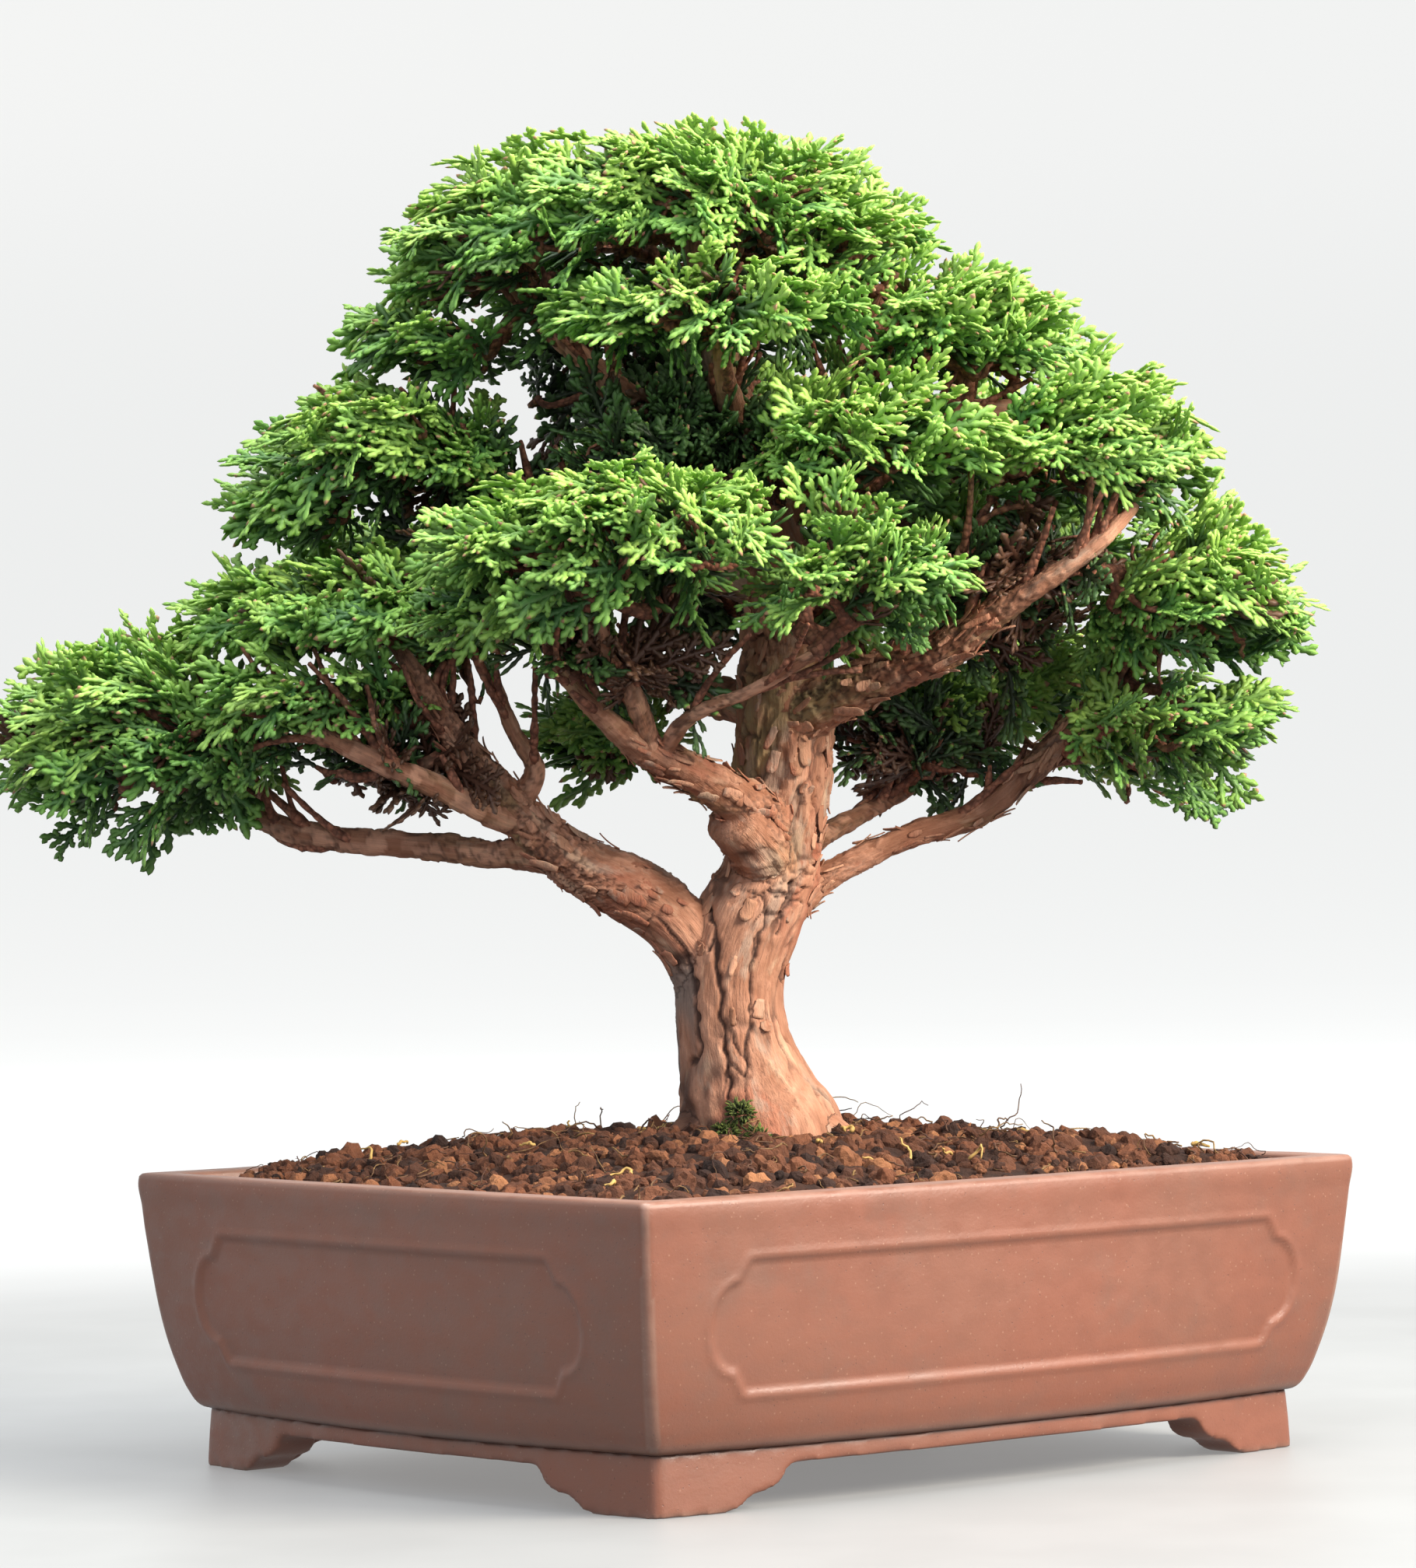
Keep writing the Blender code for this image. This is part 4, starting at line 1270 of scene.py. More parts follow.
    def plinth(self) -> bpy.types.Object:
        """The plinth with its four feet.

        Returns:
            The piece, in place.
        """
        low, high = self.plinth_insets
        levels = np.linspace(0, self.seam_height + 0.4, 8)
        outer = [self.outline(low + (high - low) * z / self.seam_height, z) for z in levels]
        inner = [self.outline(low + self.plinth_wall, z) for z in (-2, self.floor_underside)]
        thing = new_object("pot_plinth", loft(np.array(outer)).mesh("pot_plinth"))
        tools = [loft(np.array(inner))]
        tools.append(self.foot_gap(self.length / 2 - low, self.width, 0))
        tools.append(self.foot_gap(self.width / 2 - low, self.length, 1))
        for tool in tools:  # a tool only cuts if its faces look outwards
            fixed = tool.mesh("check")
            shape = bmesh.new()
            shape.from_mesh(fixed)
            if shape.calc_volume(signed=True) < 0:
                tool.faces = [group[:, ::-1] for group in tool.faces]
            shape.free()
            bpy.data.meshes.remove(fixed)
        carved(thing, tools)
        melted(thing, 0.95, 4)
        points = read_points(thing.data)
        normals = read_normals(thing.data)
        points += normals * (0.1 * noise(points, (16, 16, 8), 6))[:, None]
        points[:, 2] = np.maximum(points[:, 2], 0.0)
        set_points(thing.data, points + self.middle)
        set_mark(thing.data, "wear_and_sheen", ease((2.2 - points[:, 2]) / 2.2) * 0.35)
        # painted shade at the plinth's top, under the bowl's belly
        set_mark(thing.data, "seam", ease((points[:, 2] - 14.9) / 1.0) * (0.6 + 0.4 * noise(points, 4, 9)))
        return thing

    def build(self) -> None:
        """Make both pieces of the pot, which was fired as one."""
        install(self.bowl(), FiredClay(), True, "pot")
        install(self.plinth(), FiredClay(), True, "pot")
        for word in ("left", "right"):
            for node, finish in (("drain_screen", MouldedMesh()), ("screen_clip", DrawnAluminium())):
                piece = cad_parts[f"{node}_{word}"]
                for place in piece.material_slots:
                    place.material = finish.material()
                LOG.info("%s: %s", piece.name, type(finish).__name__)


# ---------------------------------------------------------------- the wood


@dataclass
class Wood:
    """The trunk, its surface roots and limbs, grown as one."""

    middle: np.ndarray
    step: float = 1.2
    voxel: float = 0.6
    buried: float = 76.0  # the wood is left out below this height, deep in the soil
    fissure_crust_and_shade_depth: float = 1.0
    plate_lift: float = 0.85
    flake_depth: float = 0.24
    # single features of the trunk, in the tree's frame: middles and sizes
    knob_hollow: tuple = (1.0, -22.0, 164.6)
    hollow_radius: float = 2.4
    hollow_depth: float = 2.2
    knob: tuple = (-1, -22, 172)
    knob_half: tuple = (9, 11, 9)
    nook: tuple = (-7.0, -9.0, 158.5)
    nook_radius: float = 4.0
    flake_limbs: tuple = ("trunk", "trunk", "left", "front_limb", "right_upper", "right_low")
    flake_tries: int = 900  # places in the soil, high up or on thin wood are passed over
    flake_band: tuple = (118, 240)  # lowest and highest foot of a loose strip
    thin_sides: int = 20

    def __post_init__(self) -> None:
        """Draw each limb's centre line."""
        self.paths = {name: smooth_path(np.array(knots), self.step) for name, knots in LIMBS.items()}

    def raw_tube(self, name: str, sides: int) -> Skin:
        """A limb as a plain tube, in the tree's frame.

        Args:
            name: The limb.
            sides: How many corners its section has.

        Returns:
            The tube.
        """
        path = self.paths[name]
        skin = tube(path[:, :3], path[:, 3], sides)
        skin.marks = {}
        return skin

    def limb_places(self, points: np.ndarray, names: tuple[str, ...]) -> list[tuple[np.ndarray, ...]]:
        """Where points lie along and around their two nearest limbs.

        Args:
            points: Points in the tree's frame.
            names: The limbs to look at.

        Returns:
            For the nearest limb and the next one: how far out of it the points are, their place in its own
            straightened frame, its radius there and its number among the names.
        """
        found = []
        for name in names:
            path = self.paths[name]
            along, across, third = side_frames(path[:, :3])
            gap = np.full(len(points), np.inf)
            place = np.zeros((len(points), 3))
            radius = np.ones(len(points))
            for i in range(len(path)):
                offset = points - path[i, :3]
                run = offset @ along[i]
                near = np.abs(run) < 4 * self.step
                if i in (0, len(path) - 1):
                    near = np.ones(len(points), bool)
                offset, run_near = offset[near], run[near]
                side = np.column_stack((offset @ across[i], offset @ third[i]))
                away = np.linalg.norm(side, axis=1) - path[i, 3] + np.abs(run_near) * 0.6
                index = np.nonzero(near)[0]
                better = away < gap[index]
                index = index[better]
                gap[index] = away[better]
                place[index, :2] = side[better]
                place[index, 2] = i * self.step + run_near[better]
                radius[index] = path[i, 3]
            found.append((gap, place, radius))
        gaps, places, radii = (np.stack(values) for values in zip(*found))
        order = np.argsort(gaps, axis=0)[:2]
        rows = np.arange(len(points))
        return [(gaps[pick, rows], places[pick, rows], radii[pick, rows], pick) for pick in order]

    def relief(self, place: np.ndarray, radius: np.ndarray, seed: np.ndarray, height: np.ndarray) -> tuple:
        """The bark's relief on a limb.

        Args:
            place: Points in the limb's straightened frame.
            radius: The limb's radius there.
            seed: A shift of the pattern for each point, the same along one limb.
            height: The points' height above the ground.

        Returns:
            The relief in millimetres, how dark the fissures are, partly painted shade, and the plates' tones.
        """
        shifted = place + seed[:, None] * (31.0, 17.0, 53.0)
        warp = noises(shifted, (7, 7, 15), 1, 2, 3) * (1.7, 1.7, 4.0)
        jag = noises(shifted, (2.1, 2.1, 3.3), 4, 5, 6) * 0.7
        rough = ease((height - 146) / 18)
        size = np.clip(1.6 + radius * 0.3, 2.4, 6.0)
        stretch = 5.5 - 3.0 * rough
        scaled = (shifted + warp + jag) / np.column_stack((size, size, size * stretch))
        edge, tone = cells(scaled, (1, 1, 1), 5)
        broken = ease((noise(shifted, (9, 9, 26), 7) + 0.02 + 0.1 * rough) / 0.4)
        line = ease(1 - edge * size / 0.8) * broken
        _, chip = cells((shifted + 1.6 * jag) / (2.6, 2.6, 5.6), (1, 1, 1), 61)
        flaky = noise(shifted + jag, (2.6, 2.6, 5.0), 21) + 0.6 * noise(shifted, (1.3, 1.3, 2.6), 22)
        curl = (tone - 0.5) * ease(edge / 0.5) * rough
        strength = np.clip(radius / 11, 0.3, 1.0)
        relief = (self.plate_lift * (0.35 + 0.65 * rough) * (tone - 0.4) + 0.35 * curl
                  - self.fissure_crust_and_shade_depth * line) * strength
        relief += self.flake_depth * flaky * (0.6 + 0.6 * rough) + 1.2 * (chip - 0.5) * rough * strength
        relief += 0.4 * noise(shifted, (8, 8, 14), 25) * np.clip(radius / 12, 0.2, 1)
        shade = 0.35 * tone + 0.3 * chip * rough + 0.2 * flaky + 0.25 - 0.3 * rough
        return relief, line * (1 - 0.25 * rough), shade

    def butt(self) -> bpy.types.Object:
        """The trunk with the roots and the thick limbs, its bark in relief.

        Returns:
            The piece, in place.
        """
        skin = Skin.join([self.raw_tube(name, 40 if name == "trunk" else 24) for name in BUTT])
        thing = new_object("trunk_bark", skin.mesh("trunk_bark"))
        melted(thing, self.voxel, 10)
        shape = bmesh.new()
        shape.from_mesh(thing.data)
        every = shape.verts[:] + shape.edges[:] + shape.faces[:]
        cut = bmesh.ops.bisect_plane(shape, geom=every, plane_co=(0, 0, self.buried * MM), plane_no=(0, 0, 1),
                                     clear_inner=True)
        rim = [part for part in cut["geom_cut"] if isinstance(part, bmesh.types.BMEdge)]
        bmesh.ops.edgeloop_fill(shape, edges=rim)
        shape.to_mesh(thing.data)
        shape.free()
        points = read_points(thing.data)
        normals = read_normals(thing.data)
        best, second = self.limb_places(points, BUTT)
        results = [self.relief(place, radius, pick.astype(float), points[:, 2])
                   for _, place, radius, pick in (best, second)]
        share = 0.5 * ease(1 - (second[0] - best[0]) / 2.4)
        lift, dark, tone = [a * (1 - share) + b * share for a, b in zip(*results)]
        lift, dark, more = self.hand_work(points, lift, dark)
        points = points + normals * lift[:, None]
        set_mark(thing.data, "grain", best[1] * MM)
        # darkness of cracks and crust, with painted shade in the fissures, the hollow and the nook
        set_mark(thing.data, "fissure_crust_and_shade", dark * 0.92)
        set_mark(thing.data, "plate", tone)
        for name, values in more.items():
            set_mark(thing.data, name, values)
        set_points(thing.data, points @ tree_turn().T + self.middle)
        return thing

    def hand_work(self, points: np.ndarray, lift: np.ndarray, dark: np.ndarray) -> tuple:
        """What only this trunk has: long fissures, the knob's hollow, a crusted foot and a weathered strip.
        Painted shade darkens the fissures, the hollow and a nook by the knob.

        Args:
            points: The surface's points in the tree's frame.
            lift: The bark's relief.
            dark: How dark it is.

        Returns:
            The new relief, the new darkness with its painted shade, and marks for algae and weathering.
        """
        right, away, up = points.T
        jag = 1.3 * noise(points, (3, 3, 4.5), 42) + 0.7 * noise(points, (1.5, 1.5, 2.2), 43)
        front = ease(-away / 5)
        flat = np.column_stack((right + jag, up))
        for route, width, depth in FISSURES:
            gap = np.full(len(points), np.inf)
            for start, end in zip(np.array(route[:-1], float), np.array(route[1:], float)):
                along = end - start
                t = np.clip((flat - start) @ along / (along @ along), 0, 1)
                gap = np.minimum(gap, np.linalg.norm(flat - start - t[:, None] * along, axis=1))
            split = np.exp(-((gap / width) ** 2)) * front
            lift = lift - depth * split
            # painted shade in the fissures, over their own dark
            dark = np.maximum(dark, ease(split * 1.3 - 0.15))
        hollow = np.linalg.norm((points - self.knob_hollow) / (1.3, 1, 0.8), axis=1)
        pit = np.exp(-((hollow / self.hollow_radius) ** 2))
        lift = lift - self.hollow_depth * pit
        # painted shade in the knob's hollow
        dark = np.maximum(dark, pit * 0.9)
        nook = np.linalg.norm((points - self.nook) / (1.2, 2.0, 1.5), axis=1)
        # painted shade in the nook beside the knob
        shade = ease(1.5 - nook / self.nook_radius) * ease(noise(points, (2, 2, 4), 46) + 0.9)
        dark = np.maximum(dark, 0.85 * shade)
        foot = ease((113 - up) / 14) * ease((7 - right) / 9)
        crust = foot * ease(1.2 * noise(points, (4, 4, 6), 44) + 0.75)
        dark = np.maximum(dark, 0.85 * crust)
        lift = lift + foot * 0.9 * noise(points, (3, 3, 4.5), 45)
        smooth_knob = ease(1.3 - np.linalg.norm((points - self.knob) / self.knob_half, axis=1) ** 2)
        lift = lift * (1 - 0.75 * smooth_knob)
        dark = dark * (1 - 0.8 * smooth_knob * (pit < 0.2))
        weathered = ease((-12.8 - right) / 1.2) * ease((140 - up) / 8) * ease((up - 98) / 8)
        weathered = weathered * ease((noise(points, (6, 6, 22), 40) + 0.7) / 0.8) * 0.75
        algae = ease((up - 150) / 30) * ease((noise(points, 16, 41) + 0.35) / 0.7) * 0.8
        return lift, dark, {"weathered": weathered, "algae": algae}

    def flakes(self) -> bpy.types.Object:
        """Make the curled strips of bark that have come loose at one end.

        Returns:
            The piece, in place.
        """
        random = np.random.default_rng(31)
        lowest, highest = self.flake_band
        angle = np.linspace(0, 2 * math.pi, 10, endpoint=False)
        skins = []
        for _ in range(self.flake_tries):
            path = self.paths[str(random.choice(self.flake_limbs))]
            spot = random.integers(len(path))
            foot, radius = path[spot, :3], path[spot, 3]
            if not lowest < foot[2] < highest or radius < 3.5 or (foot[2] < 150 and random.random() < 0.5):
                continue
            along, across, third = (ways[spot] for ways in side_frames(path[:, :3]))
            turn = random.uniform(0, 2 * math.pi)
            out = across * math.cos(turn) + third * math.sin(turn)
            down = unit(along * random.choice((-1, 1)) + random.normal(0, 0.18, 3))
            down = unit(down - out * np.dot(down, out))
            side = np.cross(out, down)
            length = random.uniform(2.5, 8.5)
            width = random.uniform(0.7, 2.2) * min(1.0, radius / 8)
            lift = random.uniform(0.4, 1.7)
            rings = []
            for t in np.linspace(0, 1, 7):
                middle = foot + out * (radius + 0.1 + lift * t**2) + down * length * t
                wide = width * (0.75 + 0.45 * t - 0.7 * t**4) * random.uniform(0.85, 1.15)
                arch = -0.3 * np.cos(angle) ** 2 * wide / 2 + 0.2 * np.sin(angle)
                rings.append(middle + side * (wide * np.cos(angle))[:, None] + out * arch[:, None])
            skin = loft(np.array(rings))
            zero = np.zeros(len(skin.points))
            tone = random.uniform(0.2, 0.95)
            skin.marks = {"grain": skin.points * MM, "fissure_crust_and_shade": zero, "plate": zero + tone, "weathered": zero,
                          "algae": zero + 0.1}
            skins.append(skin)
        return joined("bark_flakes", skins, self.middle, True)

    def branches(self) -> bpy.types.Object:
        """The thinner limbs, each its own tube with scaly bark, starting inside the thicker wood.

        Returns:
            The piece, in place.
        """
        angle = np.linspace(0, 2 * math.pi, self.thin_sides, endpoint=False)
        circle = np.column_stack((np.cos(angle), np.sin(angle)))
        skins = []
        for number, name in enumerate(name for name in LIMBS if name not in BUTT):
            fine = smooth_path(np.array(LIMBS[name]), 0.75)
            skin = tube(fine[:, :3], fine[:, 3], self.thin_sides)
            out = skin.marks["out"]
            run = skin.marks["run"]
            radius = np.interp(run, np.linspace(0, run.max(), len(fine)), fine[:, 3])
            around = np.concatenate((np.tile(circle, (len(fine), 1)), np.zeros((2, 2)))) * radius[:, None]
            place = np.column_stack((around, run))
            spot = place + number * 71.0  # so that no two limbs share a pattern
            jag = noises(spot, 1.8, 34, 35, 36) * 0.6
            lumps = noise(spot, (2.6, 2.6, 4.0), 31) + 1.2 * noise(spot, (5, 5, 7), 32)
            edge, tone = cells(spot + jag, (2.4, 2.4, 4.6), 33)
            line = ease(1 - edge / 0.2) * ease(noise(spot, (5, 5, 9), 37) + 0.6)
            lift = (0.3 * lumps + 0.45 * (tone - 0.4) - 0.35 * line) * np.clip(radius / 3.2, 0.35, 1.2)
            points = skin.points + out * lift[:, None]
            zero = np.zeros(len(points))
            marks = {"grain": place * MM, "fissure_crust_and_shade": line * 0.7, "plate": tone, "weathered": zero,
                     "algae": zero + 0.25}
            skins.append(Skin(points, skin.faces, marks))
        return joined("limb_bark", skins, self.middle, True)

    def build(self) -> None:
        """Make the trunk and the limbs."""
        install(self.butt(), CypressBark(), True, "trunk_and_limbs")
        install(self.branches(), CypressBark(), True, "trunk_and_limbs")
        install(self.flakes(), CypressBark())


# ---------------------------------------------------------------- the foliage


@dataclass
class SprayShape:
    """One flat fan of scale leaves: a stem with branchlets to either side and lobes on those.

    The template lies in its own frame: X along the stem, Y across the fan and Z out of its face.
    """

    seed: int
    plain: bool = False  # a shaded old fan, seen only deep inside the crown
    length: float = 23.0
    scale_length: float = 2.0
    scale_width: float = 2.4
    thickness: float = 1.4
    dead_share: float = 0.015
    browned_share: float = 0.1  # tips that frost or scissors have browned

    def __post_init__(self) -> None:
        """Start the spray's own random numbers."""
        self.random = np.random.default_rng(900 + self.seed)
        self.skins: list[Skin] = []

    def strip(self, start: np.ndarray, way: np.ndarray, face: np.ndarray, length: float, bend: float,
              size: float, terminal: bool) -> np.ndarray:
        """Grow one run of scales and add it to the spray.

        Args:
            start: Where it starts.
            way: The way it grows.
            face: The way its flat side looks.
            length: Its length.
            bend: How far it turns in the fan's plane, in radians.
            size: Its width over the usual width.
            terminal: Whether it ends in this year's growth.

        Returns:
            The points along its middle, with the way it runs there.
        """
        units = max(2, int(round(length / self.scale_length)))
        count = units + 1 if self.plain else 2 * units + 1
        t = np.linspace(0, 1, count)
        side = np.cross(face, way)
        turn = bend * t
        direction = way * np.cos(turn)[:, None] + side * np.sin(turn)[:, None]
        droop = self.random.uniform(-0.22, 0.05)
        direction = unit(direction + face * (droop * t)[:, None])
        step = length / (count - 1)
        middle = start + np.concatenate((np.zeros((1, 3)), np.cumsum(direction[:-1] * step, axis=0)))
        across = unit(np.cross(face, direction))
        above = np.cross(direction, across)
        full = np.arange(count) % 2 == 1  # every other ring is a scale's widest part
        wide = np.where(full, 1.0, 0.68) * self.scale_width * size / 2
        wide = wide * np.interp(t, (0, 0.12, 0.8, 1), (0.7, 1, 1.05, 0.95))
        thick = np.where(full, 1.0, 0.75) * self.thickness * size / 2
        lean = self.random.uniform(-0.12, 0.12, count) * wide
        left = middle + across * (wide + lean)[:, None]
        right = middle - across * (wide - lean)[:, None]
        top = middle + above * thick[:, None]
        under = middle - above * thick[:, None]
        rings = np.stack((left, under, right, top), axis=1).reshape(-1, 3)
        tip = middle[-1] + direction[-1] * step * 0.8
        base = middle[0] - direction[0] * step * 0.5
        points = np.concatenate((rings, base[None], tip[None]))
        ring = np.arange(4)
        after = (ring + 1) % 4
        start_of = np.arange(count - 1)[:, None] * 4
        quads = np.stack((start_of + ring, start_of + 4 + ring, start_of + 4 + after, start_of + after),
                         axis=-1)
        last = 4 * (count - 1)
        low = np.stack((ring, after, np.full(4, 4 * count)), axis=1)
        high = np.stack((last + after, last + ring, np.full(4, 4 * count + 1)), axis=1)
        away = (1 - t) * length
        young = np.exp(-((away / 4.2) ** 2)) if terminal else np.full(count, 0.12)
        # painted shade in the creases between scales
        crease_shade = np.where(full, 0.0, 0.2)
        age = np.clip(0.22 + 0.76 * young - crease_shade, 0.02, 0.98)
        # painted shade on the underside of each run and painted light on its top
        ring_ages_and_shade = np.repeat(age, 4) + np.tile((0.0, -0.06, 0.0, 0.04), count)
        ring_ages_and_shade = np.concatenate((ring_ages_and_shade, (age[0] - 0.08, age[-1] + 0.05)))
        offsets = np.concatenate((np.tile((-0.008, 0.0, 0.008, 0.004), count), (0.0, 0.0)))
        dead = np.full(len(points), float(self.random.random() < self.dead_share))
        if self.random.random() < self.browned_share:
            dead[4 * (count - 1) : 4 * count] = 1
            dead[-1] = 1
        skin = Skin(points, [quads.reshape(-1, 4), np.concatenate((low, high))],
                    {"age": np.clip(ring_ages_and_shade, 0, 1), "shift": offsets, "dead": dead})
        self.skins.append(skin)
        return np.concatenate((middle, direction), axis=1)

    def template(self) -> Skin:
        """Grow the whole fan.

        Returns:
            The fan, with marks for how young each part is with painted shade, for a shift of tone and for
            dead scales, bent as a living one is.
        """
        random = self.random
        face = np.array((0.0, 0.0, 1.0))
        ahead = np.array((1.0, 0, 0))
        stem = self.strip(np.zeros(3), ahead, face, self.length, random.uniform(-0.3, 0.3), 1.0, True)
        side = random.choice((-1, 1))
        place = 3.0
        while place < self.length - 2.0:
            part = place / self.length
            row = stem[int(part * (len(stem) - 1))]
            length = self.length * np.interp(part, (0, 0.3, 0.7, 1), (0.36, 0.5, 0.36, 0.16))
            length *= random.uniform(0.8, 1.15)
            self.branchlet(row[:3], row[3:], face, side, length)
            side = -side
            place += random.uniform(2.6, 3.6)
        skin = Skin.join(self.skins)
        x, y, z = skin.points.T
        cup = random.uniform(0.004, 0.02)
        fall = random.uniform(0.0, 0.018)
        skin.points = np.column_stack((x, y * (1 - 0.006 * np.abs(y)), z + cup * y**2 - fall * x**2))
        return skin

    def branchlet(self, start: np.ndarray, way: np.ndarray, face: np.ndarray, side: int,
                  length: float) -> None:
        """Grow one branchlet to a side of the stem, with its lobes.

        Args:
            start: Where it leaves the stem.
            way: The way the stem runs there.
            face: The way the fan's flat side looks.
            side: 1 for the left and -1 for the right.
            length: Its length.
        """
        random = self.random
        angle = random.uniform(0.62, 0.9) * side
        tilt = random.uniform(-0.3, 0.35)
        across = np.cross(face, way)
        out = unit(way * math.cos(angle) + across * math.sin(angle) + face * math.sin(tilt) * 0.8)
        own_face = unit(face - out * np.dot(face, out) + across * random.uniform(-0.35, 0.35))
        rows = self.strip(start, out, own_face, length, -side * random.uniform(0.1, 0.5), 0.95, True)
        if self.plain:
            return
        place = 2.4
        lobe_side = side
        while place < length - 1.2:
            row = rows[int(place / length * (len(rows) - 1))]
            spread = random.uniform(0.6, 0.95) * lobe_side
            lobe_way = unit(row[3:] * math.cos(spread) + np.cross(own_face, row[3:]) * math.sin(spread)
                            + own_face * random.uniform(-0.25, 0.3))
            size = random.uniform(0.26, 0.42) * length * (1.15 - 0.6 * place / length)
            self.strip(row[:3], lobe_way, own_face, max(2.8, min(size, 6.0)), 0.2 * lobe_side, 0.88, True)
            lobe_side = -lobe_side
            place += random.uniform(2.1, 3.0)


@dataclass
class Spray:
    """Where one fan of leaves grows."""

    base: np.ndarray
    way: np.ndarray
    face: np.ndarray
    size: float
    tone: float
    dead: bool


@dataclass
class Pad:
    """One cushion of foliage: a lumpy ellipsoid whose surface the sprays' tips reach."""

    name: str
    centre: np.ndarray
    half: np.ndarray
    sprays: list[Spray] = field(default_factory=list)

    def depth(self, points: np.ndarray) -> np.ndarray:
        """How far out points are: 0 in the middle and 1 on the surface."""
        return np.linalg.norm((points - self.centre) / self.half, axis=1)

    def area(self) -> float:
        """The surface's area in square millimetres, by Thomsen's rule."""
        a, b, c = self.half**1.6
        return 4 * math.pi * ((a * b + a * c + b * c) / 3) ** (1 / 1.6)


@dataclass
class Canopy:
    """All the foliage: the pads, the sprays between them painted dark as shade, and the twigs that bear them.
    """

    middle: np.ndarray
    wood: Wood
    spray_area: float = 77.0  # square millimetres of a pad's surface for each outer spray
    lump: float = 0.12
    lump_size: float = 30.0
    inner_share: float = 0.3
    blend: float = 4.2  # how sharply one pad's surface turns into the next one's
    overlap: float = 0.1
    templates: int = 9
    plain_seeds: tuple = (50, 51, 52)
    plain_tones: tuple = (0.1, 0.2)  # sprays with a tone between these are plain
    dead_tone: float = 0.95
    most_sprays: int = 120  # in one piece
    twig_flow: float = 0.42  # how fast a twig thickens with the sprays it bears
    twig_radii: tuple = (0.7, 2.6)

    def __post_init__(self) -> None:
        """Draw the templates and lay out the pads."""
        self.random = np.random.default_rng(4021)
        self.fans = [SprayShape(seed).template() for seed in range(self.templates)]
        self.plain_fans = [SprayShape(seed, True).template() for seed in self.plain_seeds]
        self.pads = [self.pad(name, row) for name, row in PADS.items()]
        self.hearts = [self.pad(f"inner_{number}", row) for number, row in enumerate(INNER)]

    @staticmethod
    def pad(name: str, row: tuple[float, ...]) -> Pad:
        """An empty pad from a row of a table."""
        return Pad(name, np.array(row[:3], float), np.array(row[3:6], float))

    def swell(self, pad: Pad, ways: np.ndarray) -> np.ndarray:
        """How far out the canopy's surface is, where neighbouring pads have grown together.

        Args:
            pad: The pad to start from.
            ways: Ways out of its middle, before they are stretched to its half sizes.

        Returns:
            A factor for each way, 1 where the pad is alone.
        """
        factor = np.ones(len(ways))
        for _ in range(4):
            points = pad.centre + ways * pad.half * factor[:, None]
            filled = sum(np.exp(-self.blend * (other.depth(points) - 1)) for other in self.pads)
            factor = np.clip(factor + 0.8 * np.log(filled) / self.blend, 1.0, 1.4)
        return factor

    def grow(self, pad: Pad) -> None:
        """Find where the sprays of a pad grow.

        Args:
            pad: The pad, whose list of sprays is filled.
        """
        random = self.random
        outer = int(pad.area() / self.spray_area)
        total = int(outer * (1 + self.inner_share))
        number = np.arange(total) + 0.5
        high = 1 - 2 * number / total
        turn = number * math.pi * (3 - math.sqrt(5)) + random.uniform(0, 6)
        flat = np.sqrt(1 - high**2)
        ways = np.column_stack((flat * np.cos(turn), flat * np.sin(turn), high))
        ways = unit(ways + random.normal(0, 0.09, ways.shape))
        inner = random.random(total) < self.inner_share / (1 + self.inner_share)
        lumps = 1 + self.lump * noise(pad.centre + ways * pad.half, self.lump_size, 60)
        reach = lumps * np.where(inner, random.uniform(0.6, 0.82, total), random.uniform(0.84, 1.06, total))
        swell = self.swell(pad, ways)
        tips = pad.centre + ways * pad.half * (reach * swell)[:, None]
        normals = unit(ways / pad.half)
        own = pad.depth(tips)
        others = np.min([other.depth(tips) for other in self.pads if other is not pad], axis=0)
        hidden = others < own - np.where(inner, 0.0, self.overlap)
        trunk = np.array((8.0, 0.0, pad.centre[2] - 20))
        away = unit((pad.centre - trunk) * (1, 1, 0.2))
        crown = pad.centre - away * pad.half * 0.35 - UP * pad.half[2] * 0.35
        keep = ~hidden & ((normals[:, 2] > -0.4) | (random.random(total) < 0.2))
        for i in np.nonzero(keep)[0]:
            size = random.uniform(0.78, 1.12) * (0.9 if inner[i] else 1.0)
            flow = unit(tips[i] - crown)
            out_flat = unit((tips[i] - trunk) * (1, 1, 0))
            lift = 0.28 * normals[i, 2] - 0.04
            way = unit(flow + 0.2 * normals[i] + 0.5 * out_flat + lift * UP + random.normal(0, 0.3, 3))
            face = 0.75 * normals[i] + 0.55 * UP + random.normal(0, 0.45, 3)
            face = unit(face - way * np.dot(face, way))
            base = tips[i] - way * SprayShape.length * size * 0.93
            # painted light: sprays that face up get brighter, warmer tones
            light = 0.56 + 0.26 * normals[i, 2] + 0.2 * noise(tips[i : i + 1], 34, 61)[0]
            tone = np.clip(light + random.normal(0, 0.13), 0.2, 0.83)
            # painted shade: the sprays deep inside a pad get dark tones
            if inner[i]:
                tone = random.uniform(0.1, 0.19)
            dead = random.random() < (0.08 if inner[i] else 0.01)
            pad.sprays.append(Spray(base, way, face, size, tone, dead))

    def fill_hearts(self) -> None:
        """Grow the old sprays in the middle of the crown, between the pads, painted dark as shade."""
        random = self.random
        for pad, row in zip(self.hearts, INNER):
            for _ in range(row[6]):
                way = unit(random.normal(size=3) * (1, 1, 0.7) + 0.3 * UP)
                base = pad.centre + unit(random.normal(size=3)) * pad.half * random.uniform(0.1, 0.75)
                face = unit(np.cross(way, random.normal(size=3)))
                dead = random.random() < row[7]
                size = random.uniform(0.8, 1.1)
                # the darkest tones: painted shade
                pad.sprays.append(Spray(base, way, face, size, random.uniform(0, 0.1), dead))

